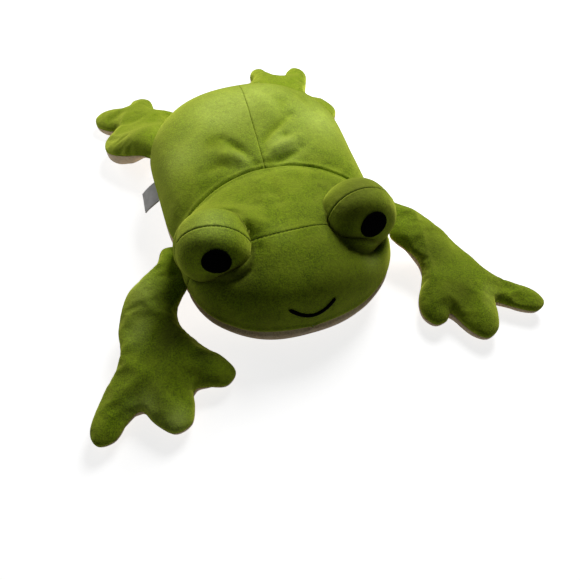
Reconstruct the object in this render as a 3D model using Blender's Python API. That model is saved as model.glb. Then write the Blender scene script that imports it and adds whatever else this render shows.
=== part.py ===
"""Plush frog lying flat on its belly, sewn from short pile cloth and stuffed.

The frog faces -Y, +X is its own left side and +Z is up. The origin is on the floor, under the middle
of the body. Head and body are one long swelling form that the neck seam divides. Each limb is two
flat panels sewn edge to edge and stuffed. The limbs hang from the side seams, where they flop up
and down.
"""
import math

import bmesh
import bpy
import numpy as np
from mathutils.geometry import delaunay_2d_cdt

MM = 0.001

# Cloth, stuffing and clearances
CLOTH = 2.0 * MM
SEAM_GAP = 0.4 * MM
FILL_GAP = 0.6 * MM
FILL_EDGE_GAP = 0.9 * MM
SEAT_GAP = 0.35 * MM
ROOT_GAP = 0.3 * MM
FLOOR_CUT = 1.0 * MM
WELD = 0.001 * MM

# Body
BODY_LENGTH = 157.0 * MM
BODY_WIDTH = 214.0 * MM
BODY_HEIGHT = 99.0 * MM
BODY_SEAM_HEIGHT = 46.0 * MM

# Head
HEAD_LENGTH = 152.0 * MM
HEAD_WIDTH = 200.0 * MM
HEAD_HEIGHT = 85.5 * MM
HEAD_SEAM_HEIGHT = 42.0 * MM

# Neck: its seam sweeps forward to the cheeks and draws the cloth in
NECK_WIDTH = 207.0 * MM
NECK_HEIGHT = 86.0 * MM
NECK_SEAM_HEIGHT = 44.0 * MM
NECK_SWEEP = 50.0 * MM
NECK_SWEEP_REACH = 90.0 * MM
NECK_DIP = 4.0 * MM
NECK_DIP_REACH = 13.0 * MM

# Eye domes, with embroidered pupils
EYE_SPREAD = 132.0 * MM
EYE_AHEAD_OF_NECK = 77.0 * MM
EYE_HEIGHT = 74.5 * MM
EYE_WIDTH = 66.0 * MM
EYE_TALL = 62.0 * MM
EYE_DEPTH = 54.0 * MM
EYE_FULLNESS = 3.0
EYE_TILT = math.radians(5.0)
EYE_TURN = math.radians(7.0)
EYE_SEAM_ANGLE = math.radians(84.0)
PUPIL_WIDTH = 23.8 * MM
PUPIL_TALL = 23.8 * MM
PUPIL_OUT = 2.6 * MM
PUPIL_UP = 8.0 * MM
PUPIL_THICKNESS = 0.9 * MM

# Embroidered smile
SMILE_WIDTH = 39.0 * MM
SMILE_END_STATION_SHARE = 0.238
SMILE_MIDDLE_STATION_SHARE = 0.125
SMILE_THICKNESS = 2.6 * MM

# Arms
ARM_LENGTH = 160.0 * MM
ARM_AHEAD_OF_NECK = 41.5 * MM
ARM_ROOT_WIDTH = 38.0 * MM
ARM_THICKNESS = 34.0 * MM
HAND_SEAM_HEIGHT = 10.0 * MM
ARM_SINK_SHARE = 0.45
LEAST_LIMB_HALF = 4.5 * MM

# Legs
LEG_LENGTH = 160.0 * MM
LEG_AHEAD_OF_RUMP = 36.5 * MM
LEG_ROOT_WIDTH = 44.0 * MM
LEG_THICKNESS = 36.0 * MM
FOOT_SEAM_HEIGHT = 9.5 * MM
LEG_SINK_SHARE = 0.34

# Folded tape label in the right side seam
LABEL_WIDTH = 30.0 * MM
LABEL_REACH = 20.0 * MM
LABEL_TAPE = 0.5 * MM
LABEL_FOLD_GAP = 0.8 * MM
LABEL_BEHIND_NECK = 42.0 * MM
LABEL_DROOP = math.radians(30.0)

# Stations from neck to nose as shares of the head's sizes: place ahead of the neck, half width,
# rise of the top over the side seam, side seam height, and underside as a share of that height
HEAD_STATION_SHARES = [
    (0.266, 1.00, 0.993, 1.000, 0.00),
    (0.579, 0.98, 0.979, 0.905, 0.00),
    (0.776, 0.86, 0.817, 0.762, 0.00),
    (0.908, 0.62, 0.632, 0.643, 0.04),
    (0.975, 0.35, 0.380, 0.595, 0.32),
    (1.000, 0.00, 0.000, 0.581, 1.00),
]
FOREHEAD_SHARES = HEAD_STATION_SHARES[1]

# Stations from neck to rump, in the same order, as shares of the body's sizes
BODY_STATION_SHARES = [
    (0.290, 1.000, 0.877, 1.000, 0.00),
    (0.570, 1.000, 1.000, 1.000, 0.00),
    (0.790, 0.826, 0.949, 0.913, 0.00),
    (0.930, 0.560, 0.669, 0.826, 0.10),
    (0.985, 0.280, 0.405, 0.783, 0.44),
    (1.000, 0.000, 0.000, 0.826, 1.00),
]

# Limb outlines from the front of the root round to its rear, as shares of the limb's length,
# measured from the root: outward, then forward
RIGHT_ARM_SHARES = [
    (0.05, 0.19), (0.09, 0.32), (0.08, 0.46), (0.02, 0.57), (-0.07, 0.68), (-0.11, 0.79), (-0.05, 0.84),
    (0.04, 0.82), (0.12, 0.81), (0.14, 0.89), (0.18, 0.97), (0.27, 0.99), (0.35, 0.90), (0.40, 0.82),
    (0.47, 0.85), (0.55, 0.92), (0.64, 0.91), (0.65, 0.81), (0.55, 0.65), (0.45, 0.49), (0.40, 0.34),
    (0.32, 0.18), (0.20, 0.09), (0.09, -0.02),
]
LEFT_ARM_SHARES = [
    (0.02, 0.23), (0.08, 0.31), (0.15, 0.39), (0.16, 0.48), (0.12, 0.56), (0.08, 0.66), (0.08, 0.75),
    (0.13, 0.82), (0.21, 0.81), (0.24, 0.77), (0.30, 0.90), (0.38, 0.96), (0.46, 0.92), (0.50, 0.83),
    (0.53, 0.75), (0.61, 0.80), (0.73, 0.86), (0.82, 0.81), (0.79, 0.72), (0.68, 0.63), (0.57, 0.55),
    (0.48, 0.39), (0.37, 0.22), (0.27, 0.11), (0.12, 0.00),
]
RIGHT_LEG_SHARES = [
    (0.24, 0.19), (0.40, 0.20), (0.52, 0.12), (0.58, 0.01), (0.62, -0.07), (0.71, -0.04), (0.82, -0.03),
    (0.90, -0.08), (0.91, -0.18), (0.85, -0.27), (0.79, -0.32), (0.84, -0.42), (0.81, -0.51), (0.72, -0.53),
    (0.60, -0.46), (0.53, -0.47), (0.47, -0.52), (0.41, -0.54), (0.39, -0.50), (0.40, -0.44), (0.33, -0.36),
    (0.24, -0.30), (0.14, -0.26),
]
LEFT_LEG_SHARES = [
    (0.21, 0.12), (0.35, 0.01), (0.42, -0.11), (0.53, -0.22), (0.69, -0.28), (0.85, -0.33), (0.95, -0.42),
    (0.95, -0.51), (0.85, -0.53), (0.73, -0.53), (0.76, -0.64), (0.84, -0.77), (0.78, -0.83), (0.69, -0.83),
    (0.60, -0.77), (0.52, -0.77), (0.48, -0.87), (0.39, -0.90), (0.32, -0.84), (0.31, -0.71), (0.31, -0.56),
    (0.26, -0.44), (0.16, -0.34), (0.09, -0.25),
]

# How full the sections are: 2 is an ellipse, more is squarer
TOP_FULLNESS = 2.3
UNDER_FULLNESS = 2.6

# Limb stuffing: flatter over broad palms, pinched at the root, and sinking to the floor
PALM_FLATTENING_SHARE = 1.0
ROOT_STUB_SHARE = 0.07
ROOT_PINCH_SHARE = 0.35
ROOT_PINCH_REACH_SHARE = 0.28

# Fineness of the faces
STATION_STEPS = 2
SIDE_SAMPLES = 500
TRUNK_AROUND = 28
EYE_FRONT_RINGS = 4
EYE_BACK_RINGS = 4
EYE_AROUND = 16
PUPIL_RINGS = 2
SMILE_STEPS = 12
LABEL_TURN_STEPS = 8
OUTLINE_STEPS = 2
ROOT_STEPS = 4
LIMB_MESH_SHARE = 0.11
LIMB_EDGE_SHARE = 0.026
LEAST_ROW_SHARE = 0.8
LEAST_FIELD_SHARE = 0.45

# Places that follow from the sizes
NECK_Y = -BODY_LENGTH / 2
RUMP_Y = BODY_LENGTH / 2
FOREHEAD_REACH = FOREHEAD_SHARES[0] * HEAD_LENGTH
NECK_STATION = len(HEAD_STATION_SHARES)
FOREHEAD_STATION = NECK_STATION - 1 - HEAD_STATION_SHARES.index(FOREHEAD_SHARES)
Y, HALF_WIDTH, TOP, SEAM, UNDER = range(5)


def clear_scene():
    for obj in list(bpy.data.objects):
        bpy.data.objects.remove(obj, do_unlink=True)


def make_material(name, colour, roughness):
    material = bpy.data.materials.new(name)
    material.use_nodes = True
    shader = material.node_tree.nodes["Principled BSDF"]
    shader.inputs["Base Color"].default_value = (*colour, 1.0)
    shader.inputs["Roughness"].default_value = roughness
    shader.inputs["Metallic"].default_value = 0.0
    return material


def make_object(name, vertices, faces, material, parent=None):
    """One closed solid, with its vertices given in the world and kept relative to its parent."""
    origin = np.array(parent.location) if parent else np.zeros(3)
    build = bmesh.new()
    corners = [build.verts.new(point) for point in np.asarray(vertices) - origin]
    for face in faces:
        build.faces.new([corners[index] for index in face])
    bmesh.ops.remove_doubles(build, verts=build.verts, dist=WELD)
    bmesh.ops.recalc_face_normals(build, faces=build.faces)
    mesh = bpy.data.meshes.new(name)
    build.to_mesh(mesh)
    build.free()
    mesh.shade_smooth()
    mesh.set_sharp_from_angle(angle=math.radians(50))
    mesh.materials.append(material)
    obj = bpy.data.objects.new(name, mesh)
    bpy.context.scene.collection.objects.link(obj)
    obj.parent = parent
    return obj


# Trunk form

def trunk_stations():
    """Rows of place, half width, top, side seam height and underside, from nose to rump."""
    head = []
    for place, wide, rise, seam, under in HEAD_STATION_SHARES:
        seam_z = seam * HEAD_SEAM_HEIGHT
        top_z = seam_z + rise * (HEAD_HEIGHT - seam_z)
        under_z = under * (seam_z + FLOOR_CUT) - FLOOR_CUT
        head.append((NECK_Y - place * HEAD_LENGTH, wide * HEAD_WIDTH / 2, top_z, seam_z, under_z))
    neck = [(NECK_Y, NECK_WIDTH / 2, NECK_HEIGHT, NECK_SEAM_HEIGHT, -FLOOR_CUT)]
    body = []
    for place, wide, rise, seam, under in BODY_STATION_SHARES:
        seam_z = seam * BODY_SEAM_HEIGHT
        top_z = seam_z + rise * (BODY_HEIGHT - seam_z)
        under_z = under * (seam_z + FLOOR_CUT) - FLOOR_CUT
        body.append((NECK_Y + place * BODY_LENGTH, wide * BODY_WIDTH / 2, top_z, seam_z, under_z))
    return np.array(head[::-1] + neck + body)


def beyond_end(end, inner):
    """The station that would follow past a closed end, so that the form rounds over it."""
    ghost = inner.copy()
    ghost[HALF_WIDTH] = -inner[HALF_WIDTH]
    ghost[TOP] = 2 * end[TOP] - inner[TOP]
    ghost[UNDER] = 2 * end[UNDER] - inner[UNDER]
    return ghost


def smooth_through(rows, positions):
    """Catmull-Rom curve through rows 1 to n-2, read at positions that count from row 1."""
    first = np.clip(np.floor(positions).astype(int), 0, len(rows) - 4)
    share = (positions - first)[:, None]
    before, start, end, after = (rows[first + step] for step in range(4))
    return 0.5 * (2 * start + (end - before) * share
                  + (2 * before - 5 * start + 4 * end - after) * share ** 2
                  + (3 * start - before - 3 * end + after) * share ** 3)


def stations_at(positions):
    """Smooth stations, drawn in round the neck seam."""
    rows = trunk_stations()
    rows = np.vstack([beyond_end(rows[0], rows[1]), rows, beyond_end(rows[-1], rows[-2])])
    stations = smooth_through(rows, np.asarray(positions, float))
    dip = NECK_DIP * np.exp(-((stations[:, Y] - NECK_Y) / NECK_DIP_REACH) ** 2)
    stations[:, HALF_WIDTH] -= dip
    stations[:, TOP] -= dip
    return stations


def sweep_forward(x, y):
    """How far the neck seam's sweep moves a point of the form towards the nose."""
    reach = np.where(y < NECK_Y, FOREHEAD_REACH, NECK_SWEEP_REACH)
    fade = np.clip(1 - np.abs(y - NECK_Y) / reach, 0, 1)
    return NECK_SWEEP * fade * (x / (NECK_WIDTH / 2)) ** 2


def trunk_points(positions, angles):
    """Grid of points on the form: one row a station, counted round from the left side seam."""
    stations = stations_at(positions)
    cosine, sine = np.cos(angles)[None, :], np.sin(angles)[None, :]
    power = np.where(sine >= 0, 2 / TOP_FULLNESS, 2 / UNDER_FULLNESS)
    half, top, seam, under = (stations[:, [column]] for column in (HALF_WIDTH, TOP, SEAM, UNDER))
    x = half * np.sign(cosine) * np.abs(cosine) ** power
    reach = np.where(sine >= 0, top - seam, seam - under)
    z = seam + reach * np.sign(sine) * np.abs(sine) ** power
    y = stations[:, [Y]] - sweep_forward(x, stations[:, [Y]])
    return np.stack([x, y, np.maximum(z, 0)], axis=2)


def grid_normals(grid):
    """Outward normals of a grid that closes round its columns and at both end rows."""
    right, left = np.roll(grid, -1, axis=1), np.roll(grid, 1, axis=1)
    along = np.gradient(grid, axis=0)
    normals = np.cross(along, right - left)
    lengths = np.linalg.norm(normals, axis=2, keepdims=True)
    normals = normals / np.maximum(lengths, 1e-12)
    normals[0] = (grid[0, 0] - grid[1].mean(axis=0)) / np.linalg.norm(grid[0, 0] - grid[1].mean(axis=0))
    normals[-1] = (grid[-1, 0] - grid[-2].mean(axis=0)) / np.linalg.norm(grid[-1, 0] - grid[-2].mean(axis=0))
    middle = grid.mean(axis=(0, 1))
    if np.sum(normals * (grid - middle)) < 0:
        normals[1:-1] = -normals[1:-1]
    return normals


def trunk_grid():
    positions = np.arange(0, (len(trunk_stations()) - 1) * STATION_STEPS + 1) / STATION_STEPS
    angles = np.arange(TRUNK_AROUND) * 2 * math.pi / TRUNK_AROUND
    return trunk_points(positions, angles)


def wall_faces(rows, columns, wraps):
    """Faces of a closed wall between an outer and an inner grid of the same size."""
    inner = rows * columns
    steps = columns if wraps else columns - 1
    faces = []
    for row in range(rows - 1):
        for column in range(steps):
            ahead = (column + 1) % columns
            corners = (row * columns + column, row * columns + ahead,
                       (row + 1) * columns + ahead, (row + 1) * columns + column)
            faces.append(corners)
            faces.append(tuple(inner + index for index in reversed(corners)))
    for start in (0, (rows - 1) * columns):
        for column in range(steps):
            near, far = start + column, start + (column + 1) % columns
            faces.append((near, inner + near, inner + far, far))
    if not wraps:
        for column in (0, columns - 1):
            for row in range(rows - 1):
                near, far = row * columns + column, (row + 1) * columns + column
                faces.append((near, far, inner + far, inner + near))
    return faces


def make_panel(name, outer, inner, material, wraps=False, first_row=0, last_row=0,
               first_column=0, last_column=0):
    """A cloth panel between two grids, with the shift that clears each of its seams."""
    first, last = (0 if np.ptp(row, axis=0).max() > WELD else 1 for row in (outer[0], outer[-1]))
    walls = []
    for grid in (outer, inner):
        wall = grid.copy()
        wall[0] += first_row
        wall[-1] += last_row
        wall[first:len(wall) - last, 0] += first_column
        wall[first:len(wall) - last, -1] += last_column
        walls.append(wall.reshape(-1, 3))
    rows, columns = outer.shape[:2]
    return make_object(name, np.vstack(walls), wall_faces(rows, columns, wraps), material)


def closed_faces(rows, columns):
    """Faces round a grid that closes round its columns, open at both end rows."""
    faces = []
    for row in range(rows - 1):
        for column in range(columns):
            ahead = (column + 1) % columns
            faces.append((row * columns + column, row * columns + ahead,
                          (row + 1) * columns + ahead, (row + 1) * columns + column))
    return faces


def neck_cap(row, columns):
    """Faces across a ring of the trunk, each joining its top to its underside."""
    faces = []
    for column in range(columns // 2):
        low, next_low = (columns - column) % columns, columns - column - 1
        ring = dict.fromkeys((column, column + 1, next_low, low))
        faces.append(tuple(row * columns + place for place in ring))
    return faces


def make_trunk(cloth_green, cloth_beige, fibre):
    outer = trunk_grid()
    normals = grid_normals(outer)
    inner = outer - normals * CLOTH
    fill = outer - normals * (CLOTH + FILL_GAP)
    forehead, neck, rump = FOREHEAD_STATION * STATION_STEPS, NECK_STATION * STATION_STEPS, len(outer) - 1
    left, back, right = 0, TRUNK_AROUND // 4, TRUNK_AROUND // 2
    half = SEAM_GAP / 2
    up, ahead, across = np.array((0, 0, half)), np.array((0, -half, 0)), np.array((half, 0, 0))

    def patch(grid, rows, columns):
        around = [column % TRUNK_AROUND for column in range(columns[0], columns[1] + 1)]
        return grid[rows[0]:rows[1] + 1][:, around]

    panels = (
        ("face_panel", (0, forehead), (left, right), cloth_green, (up, ahead, up, up)),
        ("crown_panel", (forehead, neck), (left, right), cloth_green, (-ahead, ahead, up, up)),
        ("body_back_left", (neck, rump), (left, back), cloth_green, (-ahead, up + across, up, across)),
        ("body_back_right", (neck, rump), (back, right), cloth_green, (-ahead, up - across, -across, up)),
        ("chin_panel", (0, neck), (right, TRUNK_AROUND), cloth_beige, (-up, ahead, -up, -up)),
        ("belly_panel", (neck, rump), (right, TRUNK_AROUND), cloth_beige, (-ahead, -up, -up, -up)),
    )
    for name, rows, columns, material, shifts in panels:
        make_panel(name, patch(outer, rows, columns), patch(inner, rows, columns), material, False, *shifts)
    for name, rows, cap_row, shift in (("head_stuffing", (0, neck), neck, ahead),
                                       ("body_stuffing", (neck, rump), 0, -ahead)):
        grid = fill[rows[0]:rows[1] + 1].copy()
        cap_row = cap_row - rows[0] if cap_row else 0
        grid[cap_row] += shift
        faces = closed_faces(len(grid), TRUNK_AROUND) + neck_cap(cap_row, TRUNK_AROUND)
        make_object(name, grid.reshape(-1, 3), faces, fibre)
    return outer, normals


def make_cutter(outer, normals):
    """The trunk with its running gap, as the shape that the eye domes are cut to."""
    grid = outer + normals * SEAT_GAP
    cutter = make_object("trunk_cutter", grid.reshape(-1, 3), closed_faces(*grid.shape[:2]),
                         make_material("cutter", (0.5, 0.5, 0.5), 0.9))
    cutter.hide_render = True
    cutter.display_type = "WIRE"
    return cutter


# Eye domes

def eye_frame(side):
    """Centre of a dome and its forward, outward and upward directions."""
    centre = np.array((side * EYE_SPREAD / 2, NECK_Y - EYE_AHEAD_OF_NECK, EYE_HEIGHT))
    forward = np.array((side * math.sin(EYE_TURN) * math.cos(EYE_TILT),
                        -math.cos(EYE_TURN) * math.cos(EYE_TILT), math.sin(EYE_TILT)))
    outward = np.array((side * math.cos(EYE_TURN), math.sin(EYE_TURN), 0))
    upward = np.cross(forward, outward) * side
    return centre, forward, outward, upward


def dome_places(side, unit, inset):
    """Places on a dome for its places on a dome of radius one, moved inwards by an inset."""
    centre, forward, outward, upward = eye_frame(side)
    sizes = np.array((EYE_DEPTH, EYE_WIDTH, EYE_TALL)) / 2
    round_it = np.hypot(unit[:, :, 1], unit[:, :, 2])[:, :, None]
    flatter = round_it ** (EYE_FULLNESS - 2)
    deep = unit[:, :, :1]
    ahead = np.sign(deep) * np.abs(deep) ** (EYE_FULLNESS - 1)
    normals = np.concatenate([ahead, unit[:, :, 1:] * flatter], axis=2) / sizes
    normals /= np.linalg.norm(normals, axis=2, keepdims=True)
    return centre + (unit * sizes - normals * inset) @ np.stack([forward, outward, upward])


def dome_grid(side, polar, around, inset):
    """Grid on a dome: rows from its front pole, moved inwards by an inset."""
    power = 2 / EYE_FULLNESS
    deep = np.sign(np.cos(polar)) * np.abs(np.cos(polar)) ** power
    wide = np.abs(np.sin(polar)) ** power
    unit = np.stack([deep[:, None] * np.ones_like(around)[None, :],
                     wide[:, None] * np.cos(around)[None, :],
                     wide[:, None] * np.sin(around)[None, :]], axis=2)
    return dome_places(side, unit, inset)


def pupil_grid(side, rings, around, inset):
    """Grid on the front of a dome round the middle of its pupil."""
    out = (PUPIL_OUT + rings[:, None] * PUPIL_WIDTH / 2 * np.cos(around)[None, :]) / (EYE_WIDTH / 2)
    up = (PUPIL_UP + rings[:, None] * PUPIL_TALL / 2 * np.sin(around)[None, :]) / (EYE_TALL / 2)
    deep = (1 - np.hypot(out, up) ** EYE_FULLNESS) ** (1 / EYE_FULLNESS)
    return dome_places(side, np.stack([deep, out, up], axis=2), inset)


def cut_by(obj, cutter):
    cut = obj.modifiers.new("trunk_seat", "BOOLEAN")
    cut.operation = "DIFFERENCE"
    cut.solver = "EXACT"
    cut.object = cutter


def make_eye(side, side_name, cutter, cloth_green, fibre, thread):
    polar = np.append(np.linspace(0, EYE_SEAM_ANGLE, EYE_FRONT_RINGS + 1),
                      np.linspace(EYE_SEAM_ANGLE, math.pi, EYE_BACK_RINGS + 1)[1:])
    around = np.arange(EYE_AROUND) * 2 * math.pi / EYE_AROUND
    outer = dome_grid(side, polar, around, 0)
    inner = dome_grid(side, polar, around, CLOTH)
    fill = dome_grid(side, polar, around, CLOTH + FILL_GAP)
    part = eye_frame(side)[1] * SEAM_GAP / 2
    front = make_panel("eye_front_" + side_name, outer[:EYE_FRONT_RINGS + 1], inner[:EYE_FRONT_RINGS + 1],
                       cloth_green, True, last_row=part)
    back = make_panel("eye_back_" + side_name, outer[EYE_FRONT_RINGS:], inner[EYE_FRONT_RINGS:],
                      cloth_green, True, first_row=-part)
    stuffing = make_object("eye_stuffing_" + side_name, fill.reshape(-1, 3),
                           closed_faces(*fill.shape[:2]), fibre)
    for obj in (front, back, stuffing):
        cut_by(obj, cutter)
    rings = np.arange(PUPIL_RINGS + 1) / PUPIL_RINGS
    make_panel("pupil_" + side_name, pupil_grid(side, rings, around, -SEAT_GAP - PUPIL_THICKNESS),
               pupil_grid(side, rings, around, -SEAT_GAP), thread, True)


# Embroidered smile

def face_point(position, x):
    """Point and outward normal on the top half of the trunk at a station position and a given x."""
    half = stations_at([position])[0][HALF_WIDTH]
    angle = math.acos(np.sign(x) * min(abs(x) / half, 1) ** (TOP_FULLNESS / 2))
    small = 0.01
    point = trunk_points([position], np.array([angle]))[0, 0]
    along = trunk_points([position + small], np.array([angle]))[0, 0] - point
    across = trunk_points([position], np.array([angle + small]))[0, 0] - point
    normal = np.cross(across, along)
    normal *= np.sign(normal[2]) / np.linalg.norm(normal)
    return point, normal


def make_smile(thread):
    points = []
    for step in range(SMILE_STEPS + 1):
        share = 2 * step / SMILE_STEPS - 1
        station = (1 - share ** 2) * SMILE_MIDDLE_STATION_SHARE + share ** 2 * SMILE_END_STATION_SHARE
        point, normal = face_point(station * NECK_STATION, share * SMILE_WIDTH / 2)
        points.append(point + normal * (SMILE_THICKNESS / 2 + SEAT_GAP))
    curve = bpy.data.curves.new("smile", "CURVE")
    curve.dimensions = "3D"
    curve.bevel_depth = SMILE_THICKNESS / 2
    curve.bevel_resolution = 2
    curve.use_fill_caps = True
    spline = curve.splines.new("POLY")
    spline.points.add(len(points) - 1)
    for slot, point in zip(spline.points, points):
        slot.co = (*point, 1.0)
    curve.materials.append(thread)
    bpy.context.scene.collection.objects.link(bpy.data.objects.new("smile", curve))


# Limbs

def limb_frame(side, y, root_width):
    """Root of a limb clear of the side seam, its height, and its outward and forward directions."""
    positions = np.linspace(0, NECK_STATION + len(BODY_STATION_SHARES), SIDE_SAMPLES)
    seam = trunk_points(positions, np.array([0.0]))[:, 0] * (side, 1, 1)
    front, place, rear = (np.array([np.interp(at, seam[:, 1], seam[:, axis]) for axis in range(3)])
                          for at in (y - root_width, y, y + root_width))
    forward = (front - rear)[:2] / np.linalg.norm((front - rear)[:2])
    outward = np.array((-forward[1], forward[0])) * side
    beside = seam[np.abs(seam[:, 1] - y) < root_width, :2] - place[:2]
    root = place[:2] + outward * ((beside @ outward).max() + ROOT_GAP)
    return root, place[2], outward, forward


def limb_outline(shares, length, root_width):
    """Closed outline in outward and forward sizes: the smooth limb, then its straight root."""
    half, stub = root_width / 2, ROOT_STUB_SHARE * length
    front, rear = (0, half), (0, -half)
    points = [(out * length, ahead * length) for out, ahead in shares]
    points = np.array([front, (stub, half)] + points + [(stub, -half), rear])
    rows = np.vstack([2 * points[0] - points[1], points, 2 * points[-1] - points[-2]])
    positions = np.arange(0, (len(points) - 1) * OUTLINE_STEPS + 1) / OUTLINE_STEPS
    curve = smooth_through(rows, positions)
    root = [np.array(rear) + (np.array(front) - rear) * step / ROOT_STEPS for step in range(1, ROOT_STEPS)]
    return np.vstack([curve, root])


def inside_distance(points, outline):
    """Distance of each point to the outline, negative outside it."""
    start, end = outline, np.roll(outline, -1, axis=0)
    edge = end - start
    offset = points[:, None] - start[None]
    share = np.clip((offset * edge).sum(axis=2) / (edge ** 2).sum(axis=1), 0, 1)
    distance = np.linalg.norm(offset - share[..., None] * edge, axis=2).min(axis=1)
    crosses = (start[:, 1] > points[:, None, 1]) != (end[:, 1] > points[:, None, 1])
    rise = np.where(edge[:, 1] == 0, 1, edge[:, 1])
    cut = start[:, 0] + (points[:, None, 1] - start[:, 1]) * edge[:, 0] / rise
    inside = (crosses & (points[:, None, 0] < cut)).sum(axis=1) % 2 == 1
    return np.where(inside, distance, -distance)


def inward_normals(outline):
    """Directions from the outline's points towards the inside of it."""
    ahead = np.roll(outline, -1, axis=0) - outline
    ahead /= np.linalg.norm(ahead, axis=1, keepdims=True)
    tangent = ahead + np.roll(ahead, 1, axis=0)
    normals = np.stack([-tangent[:, 1], tangent[:, 0]], axis=1)
    normals /= np.linalg.norm(tangent, axis=1, keepdims=True)
    probe = outline + normals * SEAT_GAP
    return normals if inside_distance(probe, outline).mean() > 0 else -normals


def limb_mesh(outline, length):
    """Triangles over the outline: its edge points, a row just inside them, and an even field."""
    spacing, edge_row = LIMB_MESH_SHARE * length, LIMB_EDGE_SHARE * length
    row = outline + inward_normals(outline) * edge_row
    kept = []
    for point, depth in zip(row, inside_distance(row, outline)):
        crowded = any(np.linalg.norm(point - other) < edge_row for other in kept)
        if depth > edge_row * LEAST_ROW_SHARE and not crowded:
            kept.append(point)
    row = np.array(kept)
    low, high = outline.min(axis=0), outline.max(axis=0)
    field = []
    line_spacing = spacing * math.sqrt(3) / 2
    for line in range(int((high[1] - low[1]) / line_spacing) + 1):
        shift = spacing / 2 * (line % 2)
        for step in range(int((high[0] - low[0]) / spacing) + 1):
            field.append((low[0] + shift + step * spacing, low[1] + line * line_spacing))
    field = np.array(field)
    field = field[inside_distance(field, outline) > edge_row + spacing * LEAST_FIELD_SHARE]
    points = np.vstack([outline, row, field])
    ring = list(range(len(outline)))
    points = [tuple(point) for point in points]
    found, _, faces, original, _, _ = delaunay_2d_cdt(points, [], [ring], 1, WELD / 10)
    order = np.argsort([ids[0] for ids in original])
    rank = np.argsort(order)
    faces = [tuple(int(rank[index]) for index in face) for face in faces]
    return split_chords(np.array([tuple(found[index]) for index in order]), faces, len(outline))


def split_chords(points, faces, edge_count):
    """Add the middle of each inner line between two edge points, so that panels meet only at the edge."""
    points, waiting, done, middles = list(points), list(faces), [], {}
    while waiting:
        face = waiting.pop()
        for turn in range(3):
            start, end, across = face[turn - 1], face[turn], face[(turn + 1) % 3]
            if max(start, end) < edge_count and (start - end) % edge_count not in (1, edge_count - 1):
                line = frozenset((start, end))
                if line not in middles:
                    middles[line] = len(points)
                    points.append((points[start] + points[end]) / 2)
                waiting += [(start, middles[line], across), (middles[line], end, across)]
                break
        else:
            done.append(face)
    return np.array(points), done


def stuffed_height(points, triangles, edge_count, length):
    """Half thickness that stuffing gives a pair of flat panels sewn round their edge."""
    triangles = np.array(triangles)
    count = len(points)
    stiffness, load = np.zeros((count, count)), np.zeros(count)
    for corner in range(3):
        a, b, c = (triangles[:, (corner + step) % 3] for step in range(3))
        to_a, to_b = points[a] - points[c], points[b] - points[c]
        area = np.abs(to_a[:, 0] * to_b[:, 1] - to_a[:, 1] * to_b[:, 0])
        weight = (to_a * to_b).sum(axis=1) / area / 2
        np.add.at(load, a, area / 6)
        for first, second in ((a, b), (b, a)):
            np.add.at(stiffness, (first, second), -weight)
            np.add.at(stiffness, (first, first), weight)
    free = np.arange(edge_count, count)
    swell = np.zeros(count)
    swell[free] = np.linalg.solve(stiffness[np.ix_(free, free)], load[free])
    half = np.sqrt(2 * np.maximum(swell, 0))
    half /= np.sqrt(1 + (half / (PALM_FLATTENING_SHARE * half.max())) ** 2)
    reach = np.clip(points[:, 0] / (ROOT_PINCH_REACH_SHARE * length), 0, 1)
    reach = np.where(np.abs(points[:, 1]) < length * 0.35, reach, 1)
    half *= ROOT_PINCH_SHARE + (1 - ROOT_PINCH_SHARE) * reach * reach * (3 - 2 * reach)
    return half / half.max()


def make_limb(name, side, side_name, shares, sizes, hinge, cloth_green, cloth_beige, fibre):
    length, root_width, thickness, end_height, sink, root, root_height, outward, forward = sizes
    outline = limb_outline(shares, length, root_width)
    flat, triangles = limb_mesh(outline, length)
    edge_count = len(outline)
    half = stuffed_height(flat, triangles, edge_count, length) * thickness / 2
    least = np.minimum(LEAST_LIMB_HALF, inside_distance(flat, outline) + CLOTH)
    half[edge_count:] = np.maximum(half, least)[edge_count:]
    inward = np.zeros_like(flat)
    inward[:edge_count] = inward_normals(outline)

    def sheet_at(facing, depth, edge_depth):
        """Top or under sheet of the limb at a depth inside its cloth's face and at its edge."""
        moved = flat + inward * edge_depth
        away = np.linalg.norm(moved, axis=1) / (sink * length)
        middle = end_height + (root_height - end_height) * np.exp(-away ** 2)
        outer = np.maximum(middle + facing * half, 0)
        height = np.where(np.arange(len(flat)) < edge_count, middle, outer - facing * depth)
        return np.column_stack([root + moved[:, [0]] * outward + moved[:, [1]] * forward, height])

    count = len(flat)
    clear = np.array((0, 0, SEAM_GAP / 2))
    for suffix, facing, material in (("top", 1, cloth_green), ("under", -1, cloth_beige)):
        walls = [sheet_at(facing, 0, 0), sheet_at(facing, CLOTH, CLOTH)]
        for wall in walls:
            wall[:edge_count] += facing * clear
        panel = triangles + [tuple(count + index for index in reversed(face)) for face in triangles]
        for index in range(edge_count):
            after = (index + 1) % edge_count
            panel.append((index, after, count + after, count + index))
        make_object(f"{name}_{suffix}_{side_name}", np.vstack(walls), panel, material, hinge)
    under_index = [index if index < edge_count else index + count - edge_count for index in range(count)]
    depths = CLOTH + FILL_GAP, CLOTH + FILL_EDGE_GAP
    fill = np.vstack([sheet_at(1, *depths), sheet_at(-1, *depths)[edge_count:]])
    faces = triangles + [tuple(under_index[index] for index in reversed(face)) for face in triangles]
    make_object(f"{name}_stuffing_{side_name}", fill, faces, fibre, hinge)


def make_hinge(name, place):
    hinge = bpy.data.objects.new(name, None)
    hinge.location = place
    bpy.context.scene.collection.objects.link(hinge)
    return hinge


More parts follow.
